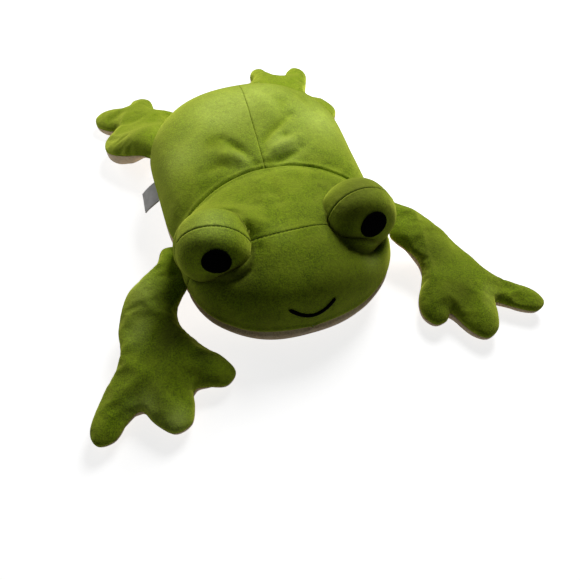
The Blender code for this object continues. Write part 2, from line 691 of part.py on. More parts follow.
def make_limbs(cloth_green, cloth_beige, fibre):
    arm_y, leg_y = NECK_Y - ARM_AHEAD_OF_NECK, RUMP_Y - LEG_AHEAD_OF_RUMP
    limbs = (("arm", 1, "left", LEFT_ARM_SHARES, arm_y), ("arm", -1, "right", RIGHT_ARM_SHARES, arm_y),
             ("leg", 1, "left", LEFT_LEG_SHARES, leg_y), ("leg", -1, "right", RIGHT_LEG_SHARES, leg_y))
    measures = {"arm": (ARM_LENGTH, ARM_ROOT_WIDTH, ARM_THICKNESS, HAND_SEAM_HEIGHT, ARM_SINK_SHARE),
                "leg": (LEG_LENGTH, LEG_ROOT_WIDTH, LEG_THICKNESS, FOOT_SEAM_HEIGHT, LEG_SINK_SHARE)}
    for name, side, side_name, shares, y in limbs:
        root, height, outward, forward = limb_frame(side, y, measures[name][1])
        hinge = make_hinge(f"{name}_hinge_{side_name}", (*root, height))
        sizes = (*measures[name], root, height, outward, forward)
        make_limb(name, side, side_name, shares, sizes, hinge, cloth_green, cloth_beige, fibre)


# Side label

def make_label(tape):
    """A tape folded double, its fold outwards and its two ends in the seam."""
    root, height, outward, forward = limb_frame(-1, NECK_Y + LABEL_BEHIND_NECK, LABEL_WIDTH)
    bend = LABEL_TAPE + LABEL_FOLD_GAP / 2
    outline = []
    there = range(LABEL_TURN_STEPS + 1)
    for radius, steps in ((bend, there), (LABEL_FOLD_GAP / 2, reversed(there))):
        steps = list(steps)
        ends = [(0, radius if steps[0] == 0 else -radius)]
        arc = [(LABEL_REACH - bend + radius * math.sin(math.pi * step / LABEL_TURN_STEPS),
                radius * math.cos(math.pi * step / LABEL_TURN_STEPS)) for step in steps]
        outline += ends + arc + [(0, -radius if steps[0] == 0 else radius)]
    count = len(outline)
    points = []
    for edge in (-LABEL_WIDTH / 2, LABEL_WIDTH / 2):
        for out, up in outline:
            level = out * math.cos(LABEL_DROOP) + up * math.sin(LABEL_DROOP)
            rise = up * math.cos(LABEL_DROOP) - out * math.sin(LABEL_DROOP)
            plan = root + outward * (SEAT_GAP + level) + forward * edge
            points.append((*plan, height + rise))
    faces = [tuple(range(count)), tuple(range(2 * count - 1, count - 1, -1))]
    for index in range(count):
        after = (index + 1) % count
        faces.append((index, after, count + after, count + index))
    hinge = make_hinge("label_hinge", (*root, height))
    make_object("label", points, faces, tape, hinge)


def main():
    clear_scene()
    cloth_green = make_material("green_plush", (0.16, 0.27, 0.03), 0.95)
    cloth_beige = make_material("beige_plush", (0.62, 0.5, 0.36), 0.95)
    fibre = make_material("fibre_fill", (0.85, 0.85, 0.83), 1.0)
    thread = make_material("black_thread", (0.01, 0.01, 0.01), 0.6)
    tape = make_material("white_tape", (0.75, 0.76, 0.78), 0.7)
    outer, normals = make_trunk(cloth_green, cloth_beige, fibre)
    cutter = make_cutter(outer, normals)
    for side, side_name in ((1, "left"), (-1, "right")):
        make_eye(side, side_name, cutter, cloth_green, fibre, thread)
    make_smile(thread)
    make_limbs(cloth_green, cloth_beige, fibre)
    make_label(tape)


main()
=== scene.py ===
import math

import bmesh
import bpy
import numpy as np
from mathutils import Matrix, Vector
from mathutils.bvhtree import BVHTree
from mathutils.geometry import delaunay_2d_cdt
from mathutils.kdtree import KDTree


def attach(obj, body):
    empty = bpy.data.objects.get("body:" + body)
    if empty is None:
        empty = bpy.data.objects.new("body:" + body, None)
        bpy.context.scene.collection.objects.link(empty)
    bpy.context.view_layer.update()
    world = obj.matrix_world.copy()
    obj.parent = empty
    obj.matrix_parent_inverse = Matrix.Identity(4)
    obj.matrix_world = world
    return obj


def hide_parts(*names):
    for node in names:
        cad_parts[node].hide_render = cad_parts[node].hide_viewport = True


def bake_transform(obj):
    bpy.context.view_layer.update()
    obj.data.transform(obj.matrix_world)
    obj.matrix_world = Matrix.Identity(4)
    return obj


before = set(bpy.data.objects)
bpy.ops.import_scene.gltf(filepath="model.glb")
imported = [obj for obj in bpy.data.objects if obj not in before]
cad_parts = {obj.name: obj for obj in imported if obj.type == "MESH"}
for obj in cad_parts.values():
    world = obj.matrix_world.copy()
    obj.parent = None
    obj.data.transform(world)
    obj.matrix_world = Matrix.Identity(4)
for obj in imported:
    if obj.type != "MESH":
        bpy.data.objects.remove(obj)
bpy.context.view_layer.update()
scene = bpy.context.scene
MM = 0.001


# Skin of the body and head
# The frog's skin is sewn from six plush panels and packed with loose fibre.
# It is round on top, flat where it lies, and drawn in along its seams.

NECK_PLACE, NECK_HALF_WIDTH, RUMP_PLACE = -78.5, 103.5, 78.5
# From nose to rump, in millimetres: place, half width, top, side seam and underside
SKIN_ROWS = [
    (-230.5, 0.0, 24.4, 24.4, 24.4), (-226.7, 35.0, 48.0, 25.0, 7.3), (-216.5, 62.0, 64.0, 27.0, 0.1),
    (-196.5, 86.0, 75.7, 32.0, -1.0), (-166.5, 98.0, 84.5, 38.0, -1.0), (-118.9, 100.0, 85.2, 42.0, -1.0),
    (NECK_PLACE, NECK_HALF_WIDTH, 86.0, 44.0, -1.0),
    (-33.0, 107.0, 92.5, 46.0, -1.0), (11.0, 107.0, 99.0, 46.0, -1.0), (45.5, 88.4, 96.1, 42.0, -1.0),
    (67.5, 59.9, 78.8, 38.0, 2.9), (76.1, 30.0, 61.5, 36.0, 15.3), (RUMP_PLACE, 0.0, 38.0, 38.0, 38.0),
]
SKIN_STEPS = [24, 22, 24, 30, 40, 44, 44, 40, 30, 24, 22, 24]
SKIN_AROUND = 384
NECK_ROW, FOREHEAD_ROW = sum(SKIN_STEPS[:6]), sum(SKIN_STEPS[:4])
ROUNDNESS_ABOVE, ROUNDNESS_BELOW = 2.3, 2.6
NECK_DIP, NECK_DIP_REACH = 4.0 * MM, 13 * MM
# The neck seam sweeps forward at the sides, fading out ahead of the neck and behind it
NECK_SWEEP, SWEEP_AHEAD, SWEEP_BEHIND = 50 * MM, 88 * MM, 90 * MM
BACK_SEAM_BEND = 5.5 * MM
FLOOR_GAP = 0.4 * MM
CLOTH_THICKNESS = 1.7 * MM


def smooth_through(rows, positions):
    """Curve through rows 1 to n-2, read at positions that count from row 1."""
    first = np.clip(np.floor(positions).astype(int), 0, len(rows) - 4)
    share = (positions - first)[:, None]
    before, start, end, after = (rows[first + step] for step in range(4))
    return 0.5 * (2 * start + (end - before) * share
                  + (2 * before - 5 * start + 4 * end - after) * share ** 2
                  + (3 * start - before - 3 * end + after) * share ** 3)


def skin_form():
    """Grid of points on the stuffed form: a row each station, counted round from the left side seam."""
    rows = np.array(SKIN_ROWS) * MM
    ends = []
    for end, inner in ((rows[0], rows[1]), (rows[-1], rows[-2])):
        ghost = inner.copy()
        ghost[1] = -inner[1]
        ghost[[2, 4]] = 2 * end[[2, 4]] - inner[[2, 4]]
        ends.append(ghost)
    rows = np.vstack([ends[0], rows, ends[1]])
    places = np.concatenate([index + np.arange(steps) / steps for index, steps in enumerate(SKIN_STEPS)])
    station = smooth_through(rows, np.append(places, len(SKIN_STEPS)))
    y, half, top, seam, under = (station[:, [column]] for column in range(5))
    from_neck = y - NECK_PLACE * MM
    dip = NECK_DIP * np.exp(-(from_neck / NECK_DIP_REACH) ** 2)
    half, top = half - dip, top - dip
    turn = np.arange(SKIN_AROUND) * 2 * math.pi / SKIN_AROUND
    angle = (turn - 0.13 * np.sin(4 * turn))[None, :]
    cosine, sine = np.cos(angle), np.sin(angle)
    power = np.where(sine >= 0, 2 / ROUNDNESS_ABOVE, 2 / ROUNDNESS_BELOW)
    x = half * np.sign(cosine) * np.abs(cosine) ** power
    bend = np.clip(from_neck / (110 * MM), 0, 1) * np.clip((RUMP_PLACE * MM - y) / (30 * MM), 0, 1)
    x = x + BACK_SEAM_BEND * bend * np.clip(sine, 0, 1) ** 2 * (1 - np.abs(x) / np.maximum(half, MM)) ** 2
    reach = np.where(sine >= 0, top - seam, seam - under)
    z = seam + reach * np.sign(sine) * np.abs(sine) ** power
    fade = np.clip(1 - np.abs(from_neck) / np.where(from_neck < 0, SWEEP_AHEAD, SWEEP_BEHIND), 0, 1)
    sweep = NECK_SWEEP * fade * (x / (NECK_HALF_WIDTH * MM)) ** 2
    return np.stack([x, y - sweep, np.maximum(z, FLOOR_GAP)], axis=2)


def grid_normals(grid):
    """Outward directions of a grid that closes round its columns and at both end rows."""
    across = np.roll(grid, -1, axis=1) - np.roll(grid, 1, axis=1)
    normals = np.cross(np.gradient(grid, axis=0), across)
    normals /= np.maximum(np.linalg.norm(normals, axis=2, keepdims=True), 1e-12)
    for row, inner in ((0, 1), (-1, -2)):
        away = grid[row, 0] - grid[inner].mean(axis=0)
        normals[row] = away / np.linalg.norm(away)
    if np.sum(normals[1:-1] * (grid[1:-1] - grid.mean(axis=(0, 1)))) < 0:
        normals[1:-1] = -normals[1:-1]
    return normals


def face_corners(row, column, columns):
    """Corner numbers of one face of a grid that closes round its columns."""
    here, after = row * columns + column % columns, row * columns + (column + 1) % columns
    return [here, after, after + columns, here + columns]


def grid_faces(rows, across, columns, last):
    """Faces from one row and column to another, on a grid whose first and last rows are each one point."""
    faces = []
    for row in range(*rows):
        for column in range(*across):
            face = face_corners(row, column, columns)
            if row == 0:
                face = [0, face[2], face[3]]
            if row == last - 1:
                face = [face[0], face[1], last * columns]
            faces.append(tuple(face))
    return faces


def closed_grid(rows, columns):
    """Faces over a whole grid that is closed round its columns and at both ends."""
    return grid_faces((0, rows - 1), (0, columns), columns, rows - 1)


def mesh_object(name, points, faces):
    mesh = bpy.data.meshes.new(name)
    mesh.from_pydata([tuple(point) for point in points], [], faces)
    mesh.validate()
    mesh.polygons.foreach_set("use_smooth", [True] * len(mesh.polygons))
    obj = bpy.data.objects.new(name, mesh)
    scene.collection.objects.link(obj)
    return obj


def finished_mesh(obj):
    """The object's mesh with its modifiers applied."""
    return bpy.data.meshes.new_from_object(obj.evaluated_get(bpy.context.evaluated_depsgraph_get()))


def points_of(obj):
    points = np.zeros(len(obj.data.vertices) * 3, np.float32)
    obj.data.vertices.foreach_get("co", points)
    return points.reshape(-1, 3).astype(float)


STUFFING_FRAMES = 20


def stuffed(obj, pressure, cap, shrink=0.0, held=None):
    """Swells a closed cloth form with stuffing pressure and returns how far its points moved."""
    start = points_of(obj)
    cloth = obj.modifiers.new("stuffing", "CLOTH")
    settings = cloth.settings
    settings.quality = 5
    settings.use_pressure = True
    settings.uniform_pressure_force = pressure
    settings.effector_weights.gravity = 0
    settings.shrink_min = shrink
    settings.tension_stiffness = settings.compression_stiffness = 20
    settings.bending_stiffness = 0.3
    if held is not None:
        group = obj.vertex_groups.new(name="seams")
        for index in np.flatnonzero(held > 0):
            group.add([int(index)], float(held[index]), "REPLACE")
        settings.vertex_group_mass = "seams"
        settings.pin_stiffness = 0.6
    cloth.point_cache.frame_start, cloth.point_cache.frame_end = 1, STUFFING_FRAMES
    for moment in range(1, STUFFING_FRAMES + 1):
        scene.frame_set(moment)
    shape = obj.evaluated_get(bpy.context.evaluated_depsgraph_get())
    moved = np.array([tuple(vertex.co) for vertex in shape.data.vertices]) - start
    obj.modifiers.remove(cloth)
    scene.frame_set(1)
    far = np.linalg.norm(moved, axis=1, keepdims=True)
    return moved * np.minimum(1, cap / np.maximum(far, 1e-9))


def distance_to_line(points, line):
    """Distance of each point to a line of points, and how far along the line it is from 0 to 1."""
    line = np.array(line, float)
    best, along = np.full(len(points), np.inf), np.zeros(len(points))
    lengths = np.linalg.norm(np.diff(line, axis=0), axis=1)
    run = np.concatenate([[0], np.cumsum(lengths)]) / lengths.sum()
    for index, (start, end) in enumerate(zip(line[:-1], line[1:])):
        edge = end - start
        share = np.clip(((points - start) @ edge) / (edge @ edge), 0, 1)
        distance = np.linalg.norm(points - start - share[:, None] * edge, axis=1)
        closer = distance < best
        best[closer] = distance[closer]
        along[closer] = (run[index] + share * (run[index + 1] - run[index]))[closer]
    return best, along


# Folds where the neck seam gathers the back and the crown, in millimetres along the cloth:
# depth (below zero is a valley), half width, and the line's points
SKIN_FOLDS = [
    (-4.2, 5.5, [(4, -62, 88), (7, -48, 91), (17, -37, 92), (30, -27, 94), (45, -16, 95)]),
    (3.1, 5.5, [(6, -66, 87), (18, -60, 89), (32, -56, 90), (44, -50, 91)]),
    (-3.6, 4.5, [(6, -75, 84), (19, -73, 86), (33, -69, 87), (42, -63, 88)]),
    (-2.1, 4.5, [(27, -44, 92), (35, -45, 91)]),
    (-3.9, 5.0, [(-8, -72, 84), (-12, -63, 87), (-18, -52, 90), (-25, -42, 92), (-32, -34, 94)]),
    (2.6, 7.0, [(-43, -51, 89), (-25, -60, 89), (-12, -69, 86)]),
    (-2.3, 6.0, [(-58, -70, 84), (-42, -66, 86), (-28, -72, 85)]),
    (-2.6, 4.5, [(2, -88, 83), (0, -106, 85), (-1, -119, 86), (0, -131, 86)]),
    (2.1, 6.0, [(-9, -88, 84), (-13, -109, 86), (-15, -122, 86)]),
    (-2.3, 5.0, [(46, -128, 82), (60, -119, 79), (71, -110, 75)]),
    (1.8, 8.0, [(20, -92, 84), (36, -98, 83)]),
    (-2.6, 9.0, [(-48, -150, 80), (-40, -138, 83), (-30, -128, 84)]),
    (-2.1, 8.0, [(30, 20, 98), (42, 4, 97), (38, -14, 96)]),
    (2.1, 9.0, [(14, 30, 99), (22, 10, 99), (20, -10, 97)]),
    (-1.8, 8.0, [(58, 34, 90), (66, 14, 90), (72, -8, 86)]),
]

skin = skin_form()
left_column, back_column, right_column = 0, SKIN_AROUND // 4, SKIN_AROUND // 2
skin_normals = grid_normals(skin)

# Packed with fibre, the sewn form swells between its seams
SWELL_LIMIT, SWELL_SHARE = 3 * MM, 0.8
coarse = skin[::6, ::6]
coarse_form = mesh_object("skin_swelling", (coarse - grid_normals(coarse) * 2 * MM).reshape(-1, 3),
                          closed_grid(*coarse.shape[:2]))
remesh = coarse_form.modifiers.new("even", "REMESH")
remesh.mode, remesh.voxel_size = "VOXEL", 5.5 * MM
even = finished_mesh(coarse_form)
coarse_form.modifiers.remove(remesh)
coarse_form.data = even
swell_from = points_of(coarse_form)
swell = stuffed(coarse_form, 3.0, 9 * MM, shrink=0.02)


def nearest_mean(places, points, values, reach):
    """Values carried from scattered points to other places by a soft nearest mean."""
    tree = KDTree(len(points))
    for index, point in enumerate(points):
        tree.insert(point, index)
    tree.balance()
    out = np.zeros((len(places),) + values.shape[1:])
    for index, place in enumerate(places):
        found = tree.find_n(place, 6)
        weight = np.array([math.exp(-(item[2] / reach) ** 2) + 1e-9 for item in found])
        out[index] = (values[[item[1] for item in found]] * weight[:, None]).sum(axis=0) / weight.sum()
    return out


coarse_rows = skin[::2, ::2]
carried = nearest_mean(coarse_rows.reshape(-1, 3), swell_from, swell, 5 * MM)
rise = (carried.reshape(coarse_rows.shape) * skin_normals[::2, ::2]).sum(axis=2)
rise = SWELL_LIMIT * np.tanh((rise - np.median(rise)) / SWELL_LIMIT)
rows_at, columns_at = np.arange(len(skin)) / 2, np.arange(SKIN_AROUND) / 2
rise = np.stack([np.interp(rows_at, np.arange(len(rise)), column) for column in rise.T], axis=1)
rise = np.hstack([rise, rise[:, :1]])
rise = np.stack([np.interp(columns_at, np.arange(rise.shape[1]), row) for row in rise])
rise[0], rise[-1] = rise[0].mean(), rise[-1].mean()
skin = skin + skin_normals * (rise * SWELL_SHARE)[:, :, None]
bpy.data.objects.remove(coarse_form)


def along_columns(grid, row):
    """Distance along the cloth from each point to a seam that runs round the form."""
    step = np.linalg.norm(np.diff(grid, axis=0), axis=2)
    run = np.vstack([np.zeros((1, grid.shape[1])), np.cumsum(step, axis=0)])
    return np.abs(run - run[row])


def along_rows(grid, column):
    """Distance along the cloth from each point to a seam that runs from nose to rump."""
    shifted = np.roll(grid, -column, axis=1)
    step = np.linalg.norm(np.roll(shifted, -1, axis=1) - shifted, axis=2)
    ahead = np.hstack([np.zeros((len(grid), 1)), np.cumsum(step, axis=1)[:, :-1]])
    behind = step.sum(axis=1, keepdims=True) - ahead
    return np.roll(np.minimum(ahead, behind), column, axis=1)


def seam_dip(distance, depth, width):
    """A stitched seam: a narrow valley with the cloth standing a little proud beside it."""
    away = distance / (width * MM)
    return depth * MM * (0.35 * np.exp(-((away - 2.6) / 1.3) ** 2) - np.exp(-away ** 2))


# The valley of each seam, with its depth and width in millimetres. The back seam's valley comes and goes.
row_index, column_index = np.arange(len(skin))[:, None], np.arange(SKIN_AROUND)[None, :]
upper = column_index <= right_column
lift = seam_dip(along_columns(skin, NECK_ROW), 1.3, 1.2)
lift += seam_dip(np.minimum(along_rows(skin, left_column), along_rows(skin, right_column)), 2.4, 2.4)
backwards = skin[:, :, 1] / MM
fades = (0.55 + 0.45 * np.cos(backwards / 9.0) ** 2) * np.clip(0.75 - backwards / 90, 0.25, 1)
lift += np.where(row_index >= NECK_ROW, seam_dip(along_rows(skin, back_column), 0.6, 1.0) * fades, 0)
lift += np.where(upper, seam_dip(along_columns(skin, FOREHEAD_ROW), 0.4, 0.8), 0)
flat = skin.reshape(-1, 3) / MM
for depth, width, line in SKIN_FOLDS:
    distance, along = distance_to_line(flat, line)
    taper = np.sin(np.pi * np.clip(along, 0.12, 0.88)) ** 0.7
    lift += (depth * MM * taper * np.exp(-(distance / width) ** 2)).reshape(lift.shape)

# Small gathers all along the neck seam, where the longer body panels are eased onto the head
neck_run = np.linalg.norm(np.roll(skin[NECK_ROW], -1, axis=0) - skin[NECK_ROW], axis=1).cumsum() / MM
gather = np.sin(neck_run / 5.1 + 1.3 * np.sin(neck_run / 17.0)) * (0.6 + 0.4 * np.sin(neck_run / 31.0))
behind_neck = along_columns(skin, NECK_ROW) / MM
lift += 0.45 * MM * gather[None, :] * np.exp(-((behind_neck - 7) / 6.5) ** 2) * (row_index > NECK_ROW)
lift += 0.2 * MM * gather[None, :] * np.exp(-((behind_neck - 5) / 4.5) ** 2) * (row_index <= NECK_ROW)


# The eye domes press their own shapes into the face round their edges:
# centre in millimetres, then how far each is tilted up and turned outward, in degrees
EYE_PLACE = (66.0, -155.5, 74.5)
EYE_TURNS = {1: (10.0, 2.0), -1: (1.5, 12.0)}
EYE_HALF, EYE_FULLNESS = np.array((27.0, 33.0, 31.0)) * MM, 3.0


def eye_axes(side):
    """Centre of an eye dome and its forward, outward and upward directions."""
    tilt, turn = (math.radians(degrees) for degrees in EYE_TURNS[side])
    centre = np.array((side * EYE_PLACE[0], *EYE_PLACE[1:])) * MM
    level = math.cos(tilt)
    forward = np.array((side * math.sin(turn) * level, -math.cos(turn) * level, math.sin(tilt)))
    outward = np.array((side * math.cos(turn), math.sin(turn), 0))
    return centre, np.stack([forward, outward, np.cross(forward, outward) * side])


def beside_eye(points, side):
    """Distance of each point outside an eye dome, in millimetres."""
    centre, axes = eye_axes(side)
    local = (points - centre) @ axes.T
    scaled = np.abs(local / EYE_HALF)
    round_it = np.hypot(scaled[:, 1], scaled[:, 2])
    reach = (scaled[:, 0] ** EYE_FULLNESS + round_it ** EYE_FULLNESS) ** (1 / EYE_FULLNESS)
    distance = np.linalg.norm(local, axis=1) * (1 - 1 / np.maximum(reach, 1e-6))
    return distance / MM


# Under each dome the face is drawn in, and a roll of plush stands between dome and crease:
# side, depth of the crease, width of the roll, and the crease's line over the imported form, in millimetres
EYE_ROLLS = [
    (1, 11.0, 12.5, [(36, -156, 83), (36, -164, 82), (38, -174, 79), (41, -182, 77), (46, -190, 74),
                     (56, -194, 69), (65, -194, 65), (74, -190, 62), (81, -185, 61), (89, -174, 57)]),
    (-1, 6.5, 9.0, [(-30, -166, 83), (-33, -175, 80), (-38, -184, 77), (-44, -190, 74), (-54, -192, 70),
                    (-65, -188, 68), (-78, -180, 65), (-87, -171, 60), (-94, -156, 56)]),
]

# Painted shade in the folds, along the creases under the eye domes and in the domes' seam valleys, as a power
# of two below zero
painted_crease_shade = np.zeros(len(flat))
for depth, width, line in SKIN_FOLDS:
    if depth < 0:
        distance, along = distance_to_line(flat, line)
        taper = np.sin(np.pi * np.clip(along, 0.12, 0.88))
        painted_crease_shade += 0.11 * depth * taper * np.exp(-(distance / (0.7 * width)) ** 2)
for side, depth, width, line in EYE_ROLLS:
    outside = beside_eye(skin.reshape(-1, 3), side)
    line_outside = beside_eye(np.array(line) * MM, side)
    away, along = distance_to_line(flat, line)
    steps = np.linalg.norm(np.diff(line, axis=0), axis=1)
    run = np.concatenate([[0], np.cumsum(steps)]) / steps.sum()

    # Between dome and crease a round roll, past the crease a slope back to the face, both fading at the ends
    under = outside < np.interp(along, run, line_outside)
    ends = np.clip(np.minimum(along / 0.12, (1 - along) / 0.25), 0, 1)
    taper = ends * ends * (3 - 2 * ends)
    share = np.clip(away / width, 0, 1)
    roll = 1 - np.sqrt(np.clip(1 - (1 - share) ** 2, 0, 1))
    slope = 0.75 * np.exp(-away / 2.2) + 0.25 * np.exp(-(away / 12) ** 2)
    press = -depth * taper * np.where(under, roll, slope)
    # Painted shade along the crease, reaching further over the roll
    painted_crease_shade -= 3.0 * taper * np.exp(-(away / np.where(under, 3.5, 1.7)) ** 2)

    # The valley where the dome is sewn on, with painted shade along it
    press -= (0.5 + 1.8 * taper) * np.exp(-(outside / 1.7) ** 2)
    painted_crease_shade -= (0.35 + 1.3 * taper) * np.exp(-(outside / 1.9) ** 2)

    # Behind the right dome the crown rises to meet it
    if side < 0:
        centre, axes = eye_axes(side)
        behind = np.clip((5 * MM - (skin.reshape(-1, 3) - centre) @ axes[0]) / (18 * MM), 0, 1)
        press += 9.5 * behind * behind * (3 - 2 * behind) * np.exp(-(np.maximum(outside, 0) / 13) ** 2)
    facing_up = skin_normals[:, :, 2].reshape(-1) > -0.2
    lift += (press * MM * facing_up * (np.abs(outside) < 60)).reshape(lift.shape)

# The fibre inside stays clear of the cloth, also under the valleys and beside them
FIBRE_GAP = 1.0 * MM
sunk = np.minimum(lift, 0)
for step in (1, 2, 3):
    sunk = np.minimum.reduce([sunk, np.roll(sunk, step, axis=1), np.roll(sunk, -step, axis=1)])
    sunk[step:-step] = np.minimum(sunk[step:-step], np.minimum(sunk[2 * step:], sunk[:-2 * step]))
packed = skin + skin_normals * (sunk - CLOTH_THICKNESS - FIBRE_GAP)[:, :, None]
packed[:, :, 2] = np.maximum(packed[:, :, 2], CLOTH_THICKNESS + 0.8 * MM)
lift[0], lift[-1] = lift[0].mean(), lift[-1].mean()
skin = skin + skin_normals * lift[:, :, None]
skin[:, :, 2] = np.maximum(skin[:, :, 2], FLOOR_GAP)
skin_normals = grid_normals(skin)


# Green short pile plush
# A knitted cloth with a dense 2 mm pile. The pile lies this way and that, so it shows fine speckled grain,
# brushed patches and a soft sheen where it is seen at a slant.

def new_material(name):
    """A new material with its node tree and its Principled shader."""
    material = bpy.data.materials.new(name)
    material.use_nodes = True
    return material, material.node_tree, material.node_tree.nodes["Principled BSDF"]


def add_bump(tree, shader, height, strength, distance):
    """Fine relief of a given height over a surface."""
    bump = tree.nodes.new("ShaderNodeBump")
    bump.inputs["Strength"].default_value = strength
    bump.inputs["Distance"].default_value = distance
    tree.links.new(height, bump.inputs["Height"])
    tree.links.new(bump.outputs["Normal"], shader.inputs["Normal"])


def add_group(name, inputs, outputs):
    """A new shader node group with named inputs (name, kind, value) and outputs (name, kind)."""
    tree = bpy.data.node_groups.new(name, "ShaderNodeTree")
    for label, kind, value in inputs:
        socket = tree.interface.new_socket(label, in_out="INPUT", socket_type=kind)
        socket.default_value = value
    for label, kind in outputs:
        tree.interface.new_socket(label, in_out="OUTPUT", socket_type=kind)
    return tree, tree.nodes.new("NodeGroupInput"), tree.nodes.new("NodeGroupOutput")


def noise(tree, vector, scale, detail=2.0, rough=0.5, distort=0.0):
    node = tree.nodes.new("ShaderNodeTexNoise")
    tree.links.new(vector, node.inputs["Vector"])
    if isinstance(scale, bpy.types.NodeSocket):
        tree.links.new(scale, node.inputs["Scale"])
    else:
        node.inputs["Scale"].default_value = scale
    node.inputs["Detail"].default_value = detail
    node.inputs["Roughness"].default_value = rough
    node.inputs["Distortion"].default_value = distort
    return node.outputs["Fac"]


def spread(tree, value, low, high, to_low=0.0, to_high=1.0):
    node = tree.nodes.new("ShaderNodeMapRange")
    tree.links.new(value, node.inputs["Value"])
    for label, number in (("From Min", low), ("From Max", high), ("To Min", to_low), ("To Max", to_high)):
        node.inputs[label].default_value = number
    return node.outputs["Result"]


def calculate(tree, operation, first, second):
    node = tree.nodes.new("ShaderNodeMath")
    node.operation = operation
    for slot, value in zip(node.inputs, (first, second)):
        if isinstance(value, bpy.types.NodeSocket):
            tree.links.new(value, slot)
        else:
            slot.default_value = value
    return node.outputs[0]


def mix_colours(tree, share, first, second):
    node = tree.nodes.new("ShaderNodeMix")
    node.data_type = "RGBA"
    tree.links.new(share, node.inputs["Factor"])
    for label, value in (("A", first), ("B", second)):
        slot = [item for item in node.inputs if item.name == label and item.type == "RGBA"][0]
        if isinstance(value, bpy.types.NodeSocket):
            tree.links.new(value, slot)
        else:
            slot.default_value = value
    return [item for item in node.outputs if item.type == "RGBA"][0]


pile, pile_in, pile_out = add_group(
    "plush_pile",
    [("Root Colour", "NodeSocketColor", (0.1, 0.1, 0.1, 1)),
     ("Tip Colour", "NodeSocketColor", (0.5, 0.5, 0.5, 1)),
     ("Brushed Colour", "NodeSocketColor", (0.6, 0.6, 0.6, 1)),
     ("Painted Sheen Colour", "NodeSocketColor", (0.8, 0.8, 0.8, 1)),
     ("Grain Scale", "NodeSocketFloat", 850.0),
     ("Patch Scale", "NodeSocketFloat", 34.0),
     ("Lay And Painted Light", "NodeSocketFloat", 1.0)],
    [("Colour", "NodeSocketColor"), ("Height", "NodeSocketFloat"), ("Roughness", "NodeSocketFloat")])
place = pile.nodes.new("ShaderNodeTexCoord").outputs["Object"]
grain = noise(pile, place, pile_in.outputs["Grain Scale"], 3.0, 0.62)
tufts = noise(pile, place, calculate(pile, "MULTIPLY", pile_in.outputs["Grain Scale"], 0.3), 2.0, 0.55, 0.6)
patches = noise(pile, place, pile_in.outputs["Patch Scale"], 3.0, 0.55, 1.2)
wide = noise(pile, place, calculate(pile, "MULTIPLY", pile_in.outputs["Patch Scale"], 0.42), 2.0, 0.5, 0.5)
speckle = spread(pile, grain, 0.40, 0.60)
brushed = calculate(pile, "MULTIPLY", spread(pile, patches, 0.40, 0.66), 0.40)
colour = mix_colours(pile, speckle, pile_in.outputs["Root Colour"], pile_in.outputs["Tip Colour"])
colour = mix_colours(pile, brushed, colour, pile_in.outputs["Brushed Colour"])
# Where the marks brighten the plush, its colour turns towards a pale painted sheen colour, a painted
# highlight
painted_sheen_share = spread(pile, pile_in.outputs["Lay And Painted Light"], 1.0, 1.9, 0.0, 0.65)
colour = mix_colours(pile, painted_sheen_share, colour, pile_in.outputs["Painted Sheen Colour"])
shade = calculate(pile, "ADD", spread(pile, wide, 0.3, 0.7, -0.10, 0.10),
                  spread(pile, tufts, 0.3, 0.7, 0.90, 1.12))
# The colour is scaled by random tone and by the marks, which carry painted light and shade
dim = pile.nodes.new("ShaderNodeVectorMath")
dim.operation = "SCALE"
pile.links.new(colour, dim.inputs[0])
pile.links.new(calculate(pile, "MULTIPLY", shade, pile_in.outputs["Lay And Painted Light"]), dim.inputs["Scale"])
pile.links.new(dim.outputs[0], pile_out.inputs["Colour"])
height = calculate(pile, "ADD", calculate(pile, "MULTIPLY", grain, 0.6),
                   calculate(pile, "MULTIPLY", tufts, 0.7))
pile.links.new(height, pile_out.inputs["Height"])
pile.links.new(spread(pile, patches, 0.3, 0.7, 0.95, 0.82), pile_out.inputs["Roughness"])


def plush_material(name, root, tip, brushed, painted_sheen, sheen_tint, sheen):
    """Plush in the colours of its pile's roots and tips and its brushed patches, turning towards a painted
    sheen colour where its marks brighten it.
    """
    material, tree, shader = new_material(name)
    cloth = tree.nodes.new("ShaderNodeGroup")
    cloth.node_tree = pile
    for label, value in (("Root", root), ("Tip", tip), ("Brushed", brushed), ("Painted Sheen", painted_sheen)):
        cloth.inputs[label + " Colour"].default_value = (*value, 1)
    # Each piece's marks brighten or shade its colour: partly the pile's way of lying, partly painted light
    # and shade
    lay_and_light = tree.nodes.new("ShaderNodeAttribute")
    lay_and_light.attribute_name = "pile_lay_and_painted_light"
    tree.links.new(lay_and_light.outputs["Fac"], cloth.inputs["Lay And Painted Light"])
    tree.links.new(cloth.outputs["Colour"], shader.inputs["Base Color"])
    tree.links.new(cloth.outputs["Roughness"], shader.inputs["Roughness"])
    add_bump(tree, shader, cloth.outputs["Height"], 0.55, 0.9 * MM)
    shader.inputs["Specular IOR Level"].default_value = 0.12
    shader.inputs["Sheen Weight"].default_value = sheen
    shader.inputs["Sheen Roughness"].default_value = 0.6
    shader.inputs["Sheen Tint"].default_value = (*sheen_tint, 1)
    return material


green_plush = plush_material("green_plush_pile", (0.053, 0.105, 0.0), (0.210, 0.350, 0.001),
                             (0.335, 0.445, 0.014), (0.40, 0.48, 0.12), (0.90, 1.0, 0.12), 1.0)
